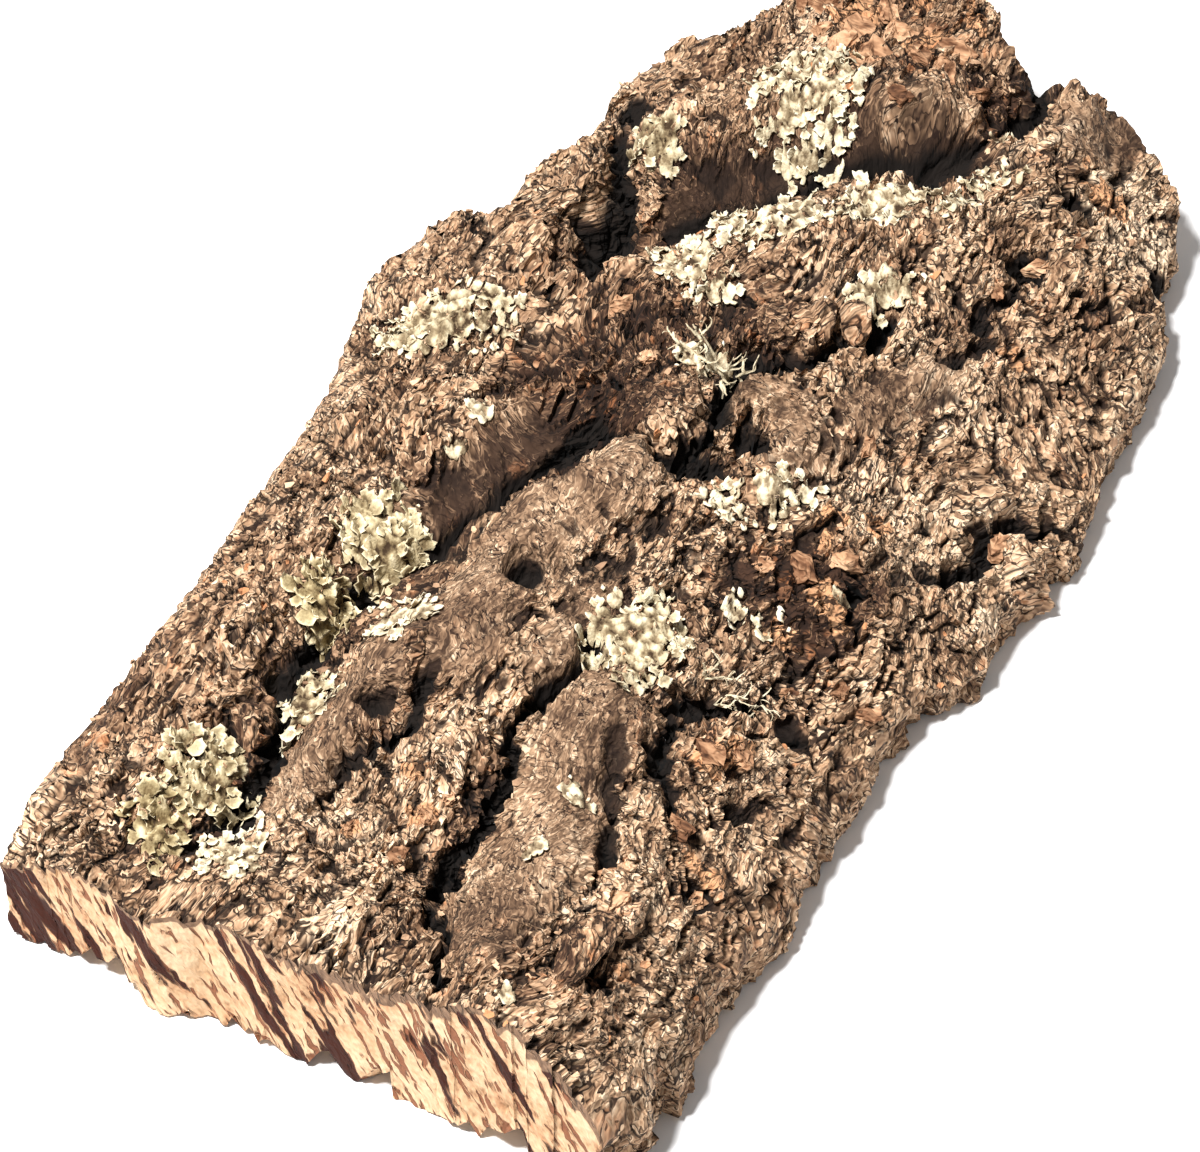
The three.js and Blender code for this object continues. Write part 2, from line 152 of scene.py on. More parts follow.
def cells(x, y, seed):
    """For scattered points one unit apart: distance to the nearest, to the edge of its cell, its two
    random numbers, and the way to it."""
    i, j = np.floor(x), np.floor(y)
    first = np.full(np.shape(x), 9.0)
    second = np.full(np.shape(x), 9.0)
    pick_a, pick_b = np.zeros_like(first), np.zeros_like(first)
    to_x, to_y = np.zeros_like(first), np.zeros_like(first)
    for di in (-1, 0, 1):
        for dj in (-1, 0, 1):
            ci, cj = i + di, j + dj
            dx = ci + 0.1 + 0.8 * hashed(ci, cj, seed) - x
            dy = cj + 0.1 + 0.8 * hashed(ci, cj, seed + 1) - y
            d = np.hypot(dx, dy)
            closer = d < first
            second = np.where(closer, first, np.minimum(second, d))
            first = np.where(closer, d, first)
            pick_a = np.where(closer, hashed(ci, cj, seed + 2), pick_a)
            pick_b = np.where(closer, hashed(ci, cj, seed + 3), pick_b)
            to_x, to_y = np.where(closer, dx, to_x), np.where(closer, dy, to_y)
    return {"middle": first, "edge": second - first, "a": pick_a, "b": pick_b, "dx": to_x, "dy": to_y}


print("noise at three places:", np.round(noise(np.array([0.5, 3.2, 9.9]), np.array([0.1, 7.7, 2.0]), 1), 2))

# %% [markdown]
# The big forms: rounded rolls with broad valleys between them, furrows where the bark has split,
# and round knot holes. Each is a path or a point with a height and a reach. They could be sculpted
# by hand, but a list keeps them where they were measured.

# %% Rolls, furrows and pits
ROLLS = [
    ([(-125, 48), (-87, 47), (-52, 47), (-16, 49), (14, 52)], 3, 17),
    ([(-125, 29), (-100, 29), (-86, 36), (-62, 32), (-44, 27), (-22, 21), (-8, 12)], -7, 16),
    ([(-74, 5), (-56, 7), (-36, 5), (-20, -1)], 6, 13),
    ([(-113, 18), (-93, 19), (-78, 14)], 4, 10),
    ([(-84, 2), (-75, -4), (-61, -10)], 2.5, 6),
    ([(-133, -6), (-114, -6), (-100, -5), (-86, -9), (-72, -14)], 3, 10),
    ([(-131, -33), (-115, -33), (-98, -32), (-85, -28), (-72, -26)], 5, 13),
    ([(-75, -36), (-85, -42), (-95, -46), (-109, -49)], 2, 7),
    ([(82, 38), (96, 24), (104, 4), (112, -14)], 6, 15),
    ([(48, 34), (63, 25), (74, 16), (88, 1), (95, -11), (107, -19), (124, -23), (150, -23)], -10, 15),
    ([(128, -33), (110, -39), (94, -44)], 5, 10),
    ([(34, 53), (47, 53), (58, 49)], 5, 10),
    ([(21, -33), (31, -38), (43, -44)], 3, 6),
    ([(44, 10), (55, -3), (60, -18), (78, -32)], 4.5, 12),
    ([(-3, -24), (2, -29), (9, -29), (14, -24), (15, -17), (11, -12)], 4, 7),
]
FURROWS = [
    ([(-123, 30), (-108, 29), (-100, 29), (-89, 36), (-81, 37), (-71, 35), (-62, 32), (-50, 31), (-44, 27),
      (-33, 22), (-22, 21), (-9, 14), (-5, 11), (-5, 0), (-7, -7)], 8, 3.6),
    ([(-7, -7), (8, -8), (15, -7), (22, -9), (29, -14), (40, -23), (46, -27)], 12, 5),
    ([(-140, -28), (-133, -26), (-127, -20), (-115, -18), (-108, -19), (-101, -17), (-96, -19), (-87, -15),
      (-73, -15), (-67, -17), (-58, -17)], 10, 2.4),
    ([(-64, -38), (-72, -39), (-77, -42), (-83, -46)], 6, 3.5),
    ([(-76, -31), (-91, -39), (-95, -42), (-107, -45)], 4, 2.6),
    ([(-83, 7), (-97, 9), (-106, 10), (-115, 12), (-122, 13)], 6, 4),
    ([(88, 58), (85, 52), (66, 45), (49, 39), (39, 37), (32, 36)], 12, 7),
    ([(36, 42), (27, 41), (21, 39)], 7, 5),
    ([(48, 34), (63, 25), (74, 16), (88, 1), (95, -11), (107, -19), (124, -23), (150, -23)], 5, 4),
    ([(84, -44), (70, -45), (63, -44), (52, -45), (46, -43)], 6, 3.4),
    ([(3, -63), (15, -65), (26, -69), (39, -76)], 8, 4),
    ([(-60, -39), (-51, -44), (-42, -49), (-35, -52), (-22, -54), (-13, -50)], 7, 4),
]
PITS = [
    ((-51, 2), 5.5, 9), ((-91, 15), 5, 7), ((-8, -9), 8, 13), ((42, -28), 6.5, 12), ((104, -45), 5, 8),
    ((83, -44), 6, 8), ((110, -63), 6, 7), ((3, -19), 6, 8), ((-127, -52), 6, 5), ((-47, -55), 5, 4),
    ((-71, -57), 5, 4), ((-93, -58), 5, 4),
]


def path_distance(x, y, path):
    """How far each place is from the nearest point of a path."""
    nearest = np.full(np.shape(x), 1e9)
    for (ax, ay), (bx, by) in zip(path[:-1], path[1:]):
        dx, dy = bx - ax, by - ay
        t = np.clip(((x - ax) * dx + (y - ay) * dy) / (dx * dx + dy * dy), 0, 1)
        nearest = np.minimum(nearest, np.hypot(x - ax - t * dx, y - ay - t * dy))
    return nearest


def wander(x, y):
    """Paths wander a little, as splits in bark do."""
    wx = x + 1.3 * np.sin(0.21 * y + 0.13 * x + 1.3) + 0.7 * np.sin(0.47 * x - 0.31 * y + 4.1)
    wy = y + 1.4 * np.sin(0.19 * x - 0.08 * y + 0.7) + 0.8 * np.sin(0.43 * x + 0.29 * y + 2.2)
    return wx, wy


def broad_height(x, y):
    """Height of the outer face with its rolls, furrows and pits, and how deep the cut is there."""
    wx, wy = wander(x, y)
    height = crown(x, y)
    for path, rise, reach in ROLLS:
        d = np.clip(path_distance(wx, wy, path) / reach, 0, 1)
        swell = (1 - d * d) ** 1.5 if rise > 0 else np.cos(d * np.pi / 2) ** 2
        height = height + rise * swell
    cut = np.zeros_like(height)
    sx = wx + 0.9 * layered(x / 4, y / 4, 50, 3)
    sy = wy + 0.9 * layered(x / 4, y / 4, 60, 3)
    uneven = 0.8 + 0.35 * noise(x / 13, y / 13, 65)
    for path, depth, reach in FURROWS:
        d = np.clip(path_distance(sx, sy, path) / (uneven * reach), 0, 1)
        cut = np.maximum(cut, uneven * depth * (1 - d) ** 0.9)
    for (px, py), radius, depth in PITS:
        d = np.clip(np.hypot(sx - px, sy - py) / radius, 0, 1)
        cut = np.maximum(cut, depth * (1 - d * d) ** 1.5)
    return height - cut, cut


print("thickness in the middle: %.1f mm" % broad_height(np.array([-40.0]), np.array([10.0]))[0][0])

# %% [markdown]
# The weathered face is flaky: plates of a few millimetres, each at its own height and tilt, with
# cracks between them, and thin layers that end in ragged steps. The rolls are smoother, with fine
# cracks across them. These are added to the height here, at the spacing of the mesh, and anything
# finer is left to the bump of the material.

# %% Flaky relief
SMOOTH_ROLLS = [
    ([(-74, 5), (-56, 7), (-36, 5), (-20, -1)], 14), ([(-113, 18), (-93, 19), (-78, 14)], 9),
    ([(-128, -33), (-115, -33), (-98, -32), (-85, -28), (-74, -26)], 14),
    ([(-70, -12), (-62, -14), (-50, -12)], 8), ([(66, 26), (80, 14), (93, 0), (104, -13)], 12),
    ([(120, -38), (132, -45)], 9), ([(21, -33), (31, -38), (43, -44)], 7),
    ([(0, -30), (10, -29), (17, -20), (14, -12)], 8), ([(-52, 33), (-30, 27), (-14, 24)], 11),
]
SCAR_MIDDLE = (5, -20)


def flaky_relief(x, y):
    """Small rises and falls of the outer face, and what the material needs to know about them."""
    wx = x + 1.6 * layered(x / 7, y / 7, 11)
    wy = y + 1.6 * layered(x / 7, y / 7, 21)
    calm = np.zeros_like(x)
    for path, reach in SMOOTH_ROLLS:
        calm = np.maximum(calm, 1 - smooth(0.35 * reach, reach, path_distance(wx, wy, path)))
    rough = 1 - 0.86 * calm
    bend_x = wx + 6 * noise(x / 31, y / 31, 12)
    bend_y = wy + 8 * noise(x / 37, y / 37, 22)
    plates = cells(bend_x / 15, bend_y / 8, 31)
    chips = cells(bend_x / 6.5 + 40, bend_y / 3.1, 41)
    steps = 3.6 * layered(bend_x / 26, bend_y / 10, 71, 3)
    terrace = steps - np.floor(steps)
    folds = 2.4 * layered(bend_x / 11, bend_y / 3.6, 76, 2)
    fold = folds - np.floor(folds)
    tilt = 3.0 * plates["dx"] * (plates["b"] - 0.5) + 2.8 * plates["dy"] * (plates["a"] - 0.5)
    rise = rough * (2.4 * (plates["a"] - 0.5) + tilt)
    rise = rise + rough * (0.5 * (chips["a"] - 0.5) + 0.7 * chips["dx"] * (chips["b"] - 0.5))
    rise = rise + rough * (2.3 * (terrace - 0.5) + 0.8 * (fold - 0.5))
    rise = rise + (0.35 - 0.2 * calm) * layered(bend_x / 5, bend_y / 1.9, 81, 2)
    rise = rise - rough * 2.0 * (1 - smooth(0.0, 0.09, plates["edge"])) * smooth(0.3, 0.6, plates["b"])
    rise = rise - rough * 0.7 * (1 - smooth(0.0, 0.12, chips["edge"])) * smooth(0.4, 0.7, chips["b"])
    across = np.abs(layered(bend_x / 9, bend_y / 26, 86, 3))
    cracked = smooth(-0.2, 0.3, noise(x / 9, y / 9, 87))
    rise = rise - (0.5 + 0.1 * calm) * (1 - smooth(0.0, 0.07, across)) * cracked
    rise = rise + 1.2 * layered(x / 16, y / 16, 91, 2)
    ring = np.hypot(wx - SCAR_MIDDLE[0], wy - SCAR_MIDDLE[1])
    rings = smooth(6, 9, ring) * (1 - smooth(17, 23, ring)) * smooth(-8, 4, wx - wy - 25)
    rise = rise + rings * 0.7 * np.sin(2 * np.pi * ring / 2.6)
    return rise, {"calm": calm, "plate": plates["a"], "chip": chips["a"]}


sample = flaky_relief(*np.meshgrid(np.arange(-90.0, 90.0), np.arange(-40.0, 40.0)))[0]
print("relief spread: %.2f mm" % sample.std())

# %% [markdown]
# The slab's mesh is like a cloth laid over it: a fine grid on top, rows of points down its four
# sides, and a coarse lattice underneath that joins the lowest row. One closed body has no seams to
# show in a crack. The near end was sawn and broken across, so its side is nearly flat, while the
# other sides are torn.

# %% Grid of the outer face
CELLS_ALONG, CELLS_ACROSS, SIDE_ROWS, UNDER_STEP = 392, 196, 16, 14


def ragged(t, seed, size, bite):
    """A torn edge: long and short bites."""
    long_bites = layered(t / (3 * bite), t * 0 + 0.5, seed, 4)
    short_bites = 0.8 * (cells(t / bite, t * 0 + 0.5, seed + 7)["a"] - 0.5)
    return size * (long_bites + short_bites)


u, v = np.meshgrid(np.linspace(0, 1, CELLS_ALONG + 1), np.linspace(0, 1, CELLS_ACROSS + 1), indexing="ij")
near_x = along(NEAR_END, v) + ragged(v * 140, 301, 0.9, 3)
far_x = along(FAR_END, v) + ragged(v * 140, 311, 1.6, 4) - 0.8
grid_x = near_x + u * (far_x - near_x)
right_y = along(RIGHT_EDGE, grid_x) + ragged(grid_x, 321, 3.6, 7) + 1.5
left_y = along(LEFT_EDGE, grid_x) + ragged(grid_x, 331, 1.3, 5) - 0.5
grid_y = right_y + v * (left_y - right_y)
broad_z, cut_depth = broad_height(grid_x, grid_y)
fine_rise, relief_notes = flaky_relief(grid_x, grid_y)


def grid_normals(points):
    n = np.cross(np.gradient(points, axis=0), np.gradient(points, axis=1))
    return n / np.linalg.norm(n, axis=-1, keepdims=True)


broad_points = np.stack([grid_x, grid_y, broad_z], -1)
rim_fade = np.minimum(1, np.minimum(v, 1 - v) * 22 + 0.35)
top_points = broad_points + grid_normals(broad_points) * (fine_rise * rim_fade)[..., None]
print("top grid:", top_points.shape[:2], "highest %.1f mm" % top_points[..., 2].max())

# %% Hollows of the outer face
def blurred(values, reach):
    """The mean over a square of the grid, by running sums."""
    for axis in (0, 1):
        pad = [(reach + 1, reach) if a == axis else (0, 0) for a in (0, 1)]
        total = np.cumsum(np.pad(values, pad, mode="edge"), axis=axis)
        span = 2 * reach + 1
        upto = np.take(total, range(span, total.shape[axis]), axis)
        since = np.take(total, range(total.shape[axis] - span), axis)
        values = (upto - since) / span
    return values


# How far each point lies below the mean of the face around it, at three reaches. The bark's material darkens
# its colour by these, as painted shade in the hollows.
above_crown = top_points[..., 2] - crown(grid_x, grid_y)
hollow_small = np.clip((blurred(blurred(above_crown, 3), 3) - above_crown) / 1.5, -1, 1)
hollow_large = np.clip((blurred(blurred(above_crown, 11), 11) - above_crown) / 6.0, -1, 1)
hollow_large = np.maximum(hollow_large, np.clip((cut_depth - 2.5) / 6.0, 0, 1))
hollow_wide = np.clip((blurred(blurred(above_crown, 26), 26) - above_crown) / 9.0, -1, 1)
print("deep places: %.1f%%" % (100 * (hollow_large > 0.5).mean()))

# %% Sides and underside
PORE_LEAN = 0.435
BITE_DEPTH, LOWEST_FOOT, HIGHEST_FOOT = 13.0, 0.05, 9
rim = [(i, 0) for i in range(CELLS_ALONG)] + [(CELLS_ALONG, j) for j in range(CELLS_ACROSS)]
rim += [(i, CELLS_ACROSS) for i in range(CELLS_ALONG, 0, -1)] + [(0, j) for j in range(CELLS_ACROSS, 0, -1)]
rim_i, rim_j = np.array(rim).T
rim_points = top_points[rim_i, rim_j]
rim_count = len(rim)
step = np.roll(rim_points[:, :2], -6, 0) - np.roll(rim_points[:, :2], 6, 0)
outward = np.stack([step[:, 1], -step[:, 0]], -1)
outward /= np.linalg.norm(outward, axis=1, keepdims=True)
around = np.concatenate([[0], np.cumsum(np.linalg.norm(np.diff(rim_points[:, :2], axis=0), axis=1))])
is_near = (rim_i == 0) & (rim_j > 0)
is_far = rim_i == CELLS_ALONG
notches = 0.9 * (cells(around / 4.5, around * 0 + 0.5, 415)["a"] - 0.45)
foot_bites = np.clip(layered(around / 5, around * 0, 411, 3) + notches, 0, 1)
foot_z = 0.7 + 0.8 * layered(around / 8, around * 0, 401, 3) + BITE_DEPTH * is_near * foot_bites
foot_z = np.clip(foot_z, LOWEST_FOOT, HIGHEST_FOOT)

side_rows = []
for row in range(1, SIDE_ROWS + 1):
    down = (row / SIDE_ROWS) ** 0.9
    z = rim_points[:, 2] + (foot_z - rim_points[:, 2]) * down
    torn = 1.9 * layered(around / 6, z / 5, 421, 4) + 1.4 * (cells(around / 4, z / 3, 431)["a"] - 0.5)
    streak = rim_points[:, 1] - PORE_LEAN * z
    slots = smooth(0.42, 0.7, layered(streak / 3.1, z / 17, 451, 2))
    sawn = 0.9 * layered(streak / 2.2, z / 22, 441, 3) - 1.8 * slots
    push = np.where(is_near, sawn, torn) * min(1, 3 * down) - np.where(is_near, 0.4, 0.9) * down
    side_rows.append(np.column_stack([rim_points[:, :2] + outward * push[:, None], z]))
print("rim points:", rim_count, "side rows:", len(side_rows))

# %% One closed bark mesh
def bark_mesh():
    count = (CELLS_ALONG + 1) * (CELLS_ACROSS + 1)
    top_index = np.arange(count).reshape(CELLS_ALONG + 1, CELLS_ACROSS + 1)
    corners = [top_index[:-1, :-1], top_index[1:, :-1], top_index[1:, 1:], top_index[:-1, 1:]]
    quads = np.stack(corners, -1).reshape(-1, 4)
    rings = [top_index[rim_i, rim_j]]
    rings += [count + rim_count * r + np.arange(rim_count) for r in range(SIDE_ROWS)]
    walls = [np.stack([a, b, np.roll(b, -1), np.roll(a, -1)], -1) for a, b in zip(rings[:-1], rings[1:])]
    lowest = {place: int(index) for place, index in zip(rim, rings[-1])}
    points = [top_points.reshape(-1, 3)] + side_rows
    next_index = count + rim_count * SIDE_ROWS
    inner, inner_points = {}, []
    for i in range(UNDER_STEP, CELLS_ALONG, UNDER_STEP):
        for j in range(UNDER_STEP, CELLS_ACROSS, UNDER_STEP):
            inner[(i, j)] = next_index + len(inner_points)
            inner_points.append((grid_x[i, j], grid_y[i, j], 0.0))
    under = []
    for i in range(0, CELLS_ALONG, UNDER_STEP):
        for j in range(0, CELLS_ACROSS, UNDER_STEP):
            side = [(i, j + k) for k in range(UNDER_STEP)]
            side += [(i + k, j + UNDER_STEP) for k in range(UNDER_STEP)]
            side += [(i + UNDER_STEP, j + UNDER_STEP - k) for k in range(UNDER_STEP)]
            side += [(i + UNDER_STEP - k, j) for k in range(UNDER_STEP)]
            under.append([lowest.get(p, inner.get(p)) for p in side if p in lowest or p in inner])
    points = np.concatenate(points + [np.array(inner_points)])
    points[:, :2] += CENTRING
    faces = np.concatenate([quads] + walls).tolist() + under
    mesh = bpy.data.meshes.new("bark")
    mesh.from_pydata((points * MM).tolist(), [], faces)
    mesh.validate()
    mesh.shade_smooth()
    mesh.set_sharp_from_angle(angle=math.radians(40))
    return mesh, len(points)


bark_data, bark_points = bark_mesh()
bark = bpy.data.objects.new("bark_slab", bark_data)
bpy.context.collection.objects.link(bark)
print("bark:", bark_points, "points,", sum(len(p.vertices) - 2 for p in bark_data.polygons), "triangles")

# %% [markdown]
# The material is told what the mesh knows: where the face lies in a hollow, where it is a smooth
# roll, and where the pale inside of the cork is bare. Named point attributes carry this.

# %% Notes for the material
def spread(top_values, side_values, under_value):
    """One value for each point of the bark mesh: top, then sides, then underside."""
    sides = np.concatenate([np.broadcast_to(side_values(row), rim_count) for row in range(1, SIDE_ROWS + 1)])
    rest = np.full(bark_points - top_values.size - sides.size, under_value)
    return np.concatenate([top_values.reshape(-1), sides, rest]).astype(np.float32)


def write_attribute(mesh, name, values):
    layer = mesh.attributes.new(name, "FLOAT", "POINT")
    layer.data.foreach_set("value", values)


BARE_CORK = [
    ((-20, -47), 6), ((-5, -41), 5), ((2, -49), 4), ((-66, -46), 6), ((-88, -57), 4), ((62, 13), 4),
    ((-33, -44), 4), ((118, 14), 7), ((128, 4), 6), ((132, 22), 7), ((138, -4), 6), ((141, 12), 6),
    ((120, -2), 5), ((-101, -2), 4), ((-110, -9), 4), ((-118, 4), 3), ((-60, -50), 5),
    ((-120, -58), 4), ((60, -52), 5), ((112, -48), 6),
]
bare = np.zeros_like(grid_x)
for (px, py), reach in BARE_CORK:
    spot = np.hypot(grid_x - px, grid_y - py) / reach + 0.7 * layered(grid_x / 3, grid_y / 3, 501, 3)
    bare = np.maximum(bare, 1 - smooth(0.4, 1.0, spot))
# Patches where the bark's colour is darkened, as painted shade on slopes that face away from the light and in
# a shallow bowl; where the strength is negative the colour is lightened instead.
SHADE_PATCHES = [
    ((8, 19), 16, 1), ((2, 6), 10, 1), ((20, 14), 14, 1), ((-2, 30), 9, 1), ((24, 28), 10, 1),
    ((-23, -44), 14, 2.0), ((-30, -34), 9, 1.4), ((-14, -50), 10, 1.4), ((92, 4), 9, 1),
    ((83, 16), 9, 1), ((71, 29), 9, 1), ((103, -10), 8, 1), ((119, -17), 8, 1), ((-6, 21), 8, 1),
    ((-19, 27), 8, 1), ((-34, 31), 7, 1), ((33, -5), 9, 1), ((120, 6), 13, 1), ((132, 16), 10, 1),
    ((112, -58), 17, -1.0), ((45, -55), 22, -0.3), ((10, -58), 18, -0.35), ((-95, -33), 16, -0.3),
    ((-110, 0), 16, -0.4),
]
stain = np.zeros_like(grid_x)
for (px, py), reach, strength in SHADE_PATCHES:
    spot = np.hypot(grid_x - px, grid_y - py) / reach + 0.35 * layered(grid_x / 5, grid_y / 5, 511, 3)
    share = 1 - smooth(0.45, 1.15, spot)
    stain = stain + share * (strength - stain)
near_rim = np.where(is_near, 1.0, np.where(is_far, 0.75, 0.35))
near_crust = np.where(rim_points[:, 1] < 0, 3.2, 1.2)
crust_depth = np.where(is_near, near_crust, 7.0) + 1.5 * layered(around / 5, around * 0 + 0.7, 521, 3)


def crust_share(row):
    below = rim_points[:, 2] - side_rows[row - 1][:, 2]
    return 1 - smooth(0.6 * crust_depth, 1.4 * crust_depth, below)


def dense_share(row):
    return np.where(is_near, 1 - smooth(-25, 25, rim_points[:, 1]), 1.0)


write_attribute(bark_data, "crust", spread(np.ones_like(grid_x), crust_share, 0.0))
write_attribute(bark_data, "dense", spread(np.zeros_like(grid_x), dense_share, 0.3))
top_notes = {"hollow_small": hollow_small, "hollow_large": hollow_large, "hollow_wide": hollow_wide}
top_notes |= {"calm": relief_notes["calm"], "stain": stain}
for name, values in top_notes.items():
    write_attribute(bark_data, name, spread(values, lambda row: 0.0, 0.0))
tones = 0.55 * relief_notes["plate"] + 0.45 * relief_notes["chip"]
write_attribute(bark_data, "tone", spread(tones, lambda row: 0.5, 0.5))
write_attribute(bark_data, "bare", spread(bare, lambda row: near_rim * min(1, row / 2), 0.8))
print("bare cork spots:", len(BARE_CORK))

# %% [markdown]
# Shader nodes are easier to read as sums than as boxes and wires. Wire stands for one output, and
# adding or multiplying wires adds the Math nodes. Finish holds one material and makes every other
# node through one method.

# %% Writing shaders as sums
class Wire:
    def __init__(self, finish, socket):
        self.finish, self.socket = finish, socket

    def math(self, operation, first, second):
        return self.finish.node("ShaderNodeMath", {"operation": operation}, {0: first, 1: second})

    def __add__(self, other):
        return self.math("ADD", self, other)

    def __sub__(self, other):
        return self.math("SUBTRACT", self, other)

    def __rsub__(self, other):
        return self.math("SUBTRACT", other, self)

    def __mul__(self, other):
        return self.math("MULTIPLY", self, other)

    __radd__, __rmul__ = __add__, __mul__


class Board:
    """A node tree that is filled by one method."""

    def node(self, kind, settings=None, values=None, output=0):
        made = self.tree.nodes.new(kind)
        for name, value in (settings or {}).items():
            if name == "stops":
                while len(made.color_ramp.elements) < len(value):
                    made.color_ramp.elements.new(0.5)
                for element, (place, colour) in zip(made.color_ramp.elements, value):
                    element.position, element.color = place, colour
            else:
                setattr(made, name, value)
        for name, value in (values or {}).items():
            if isinstance(value, Wire):
                self.tree.links.new(value.socket, made.inputs[name])
            else:
                made.inputs[name].default_value = value
        return Wire(self, made.outputs[output]) if made.outputs else None


class Finish(Board):
    """A material."""

    def __init__(self, name):
        self.material = bpy.data.materials.new(name)
        self.material.use_nodes = True
        self.tree = self.material.node_tree
        self.tree.nodes.clear()

    def ramp(self, value, low, high, start=0.0, end=1.0):
        settings = {"interpolation_type": "SMOOTHSTEP"}
        return self.node("ShaderNodeMapRange", settings, {0: value, 1: low, 2: high, 3: start, 4: end})

    def mixed(self, share, first, second, blend="MIX"):
        settings = {"data_type": "RGBA", "blend_type": blend}
        return self.node("ShaderNodeMix", settings, {0: share, 6: first, 7: second}, 2)

    def note(self, name):
        return self.node("ShaderNodeAttribute", {"attribute_name": name}, None, 2)

    def noise(self, place, scale, detail=3.0, rough=0.55, output=0):
        values = {"Vector": place, "Scale": scale, "Detail": detail, "Roughness": rough}
        return self.node("ShaderNodeTexNoise", None, values, output)

    def stretched(self, place, scale, turn=(0, 0, 0)):
        """The place with every pattern on it drawn out along the turned axes."""
        values = {"Vector": place, "Rotation": turn, "Scale": scale}
        return self.node("ShaderNodeMapping", {"vector_type": "TEXTURE"}, values)

    def shifted(self, place, scale, reach):
        """The place pushed about by noise, so that no edge runs straight."""
        push = self.noise(place, scale, 1.0, 0.6, 1)
        centred = self.node("ShaderNodeVectorMath", {"operation": "SUBTRACT"}, {0: push, 1: (0.5, 0.5, 0.5)})
        values = {0: centred, 1: (reach, reach, reach), 2: place}
        return self.node("ShaderNodeVectorMath", {"operation": "MULTIPLY_ADD"}, values)

    def done(self, colour, roughness, height, distance):
        normal = self.node("ShaderNodeBump", None, {"Strength": 1.0, "Distance": distance, "Height": height})
        values = {"Base Color": colour, "Roughness": roughness, "Normal": normal}
        surface = self.node("ShaderNodeBsdfPrincipled", None, values)
        surface.socket.node.inputs["Specular IOR Level"].default_value = 0.25
        self.node("ShaderNodeOutputMaterial", None, {"Surface": surface})
        return self.material


def tint(red, green, blue):
    """A colour as it looks on screen, 0 to 255, turned into the linear light that shaders use."""
    linear = [c / 12.92 / 255 if c < 10 else ((c / 255 + 0.055) / 1.055) ** 2.4 for c in (red, green, blue)]
    return (*linear, 1.0)


print("mid bark in linear light:", [round(c, 3) for c in tint(165, 135, 106)])
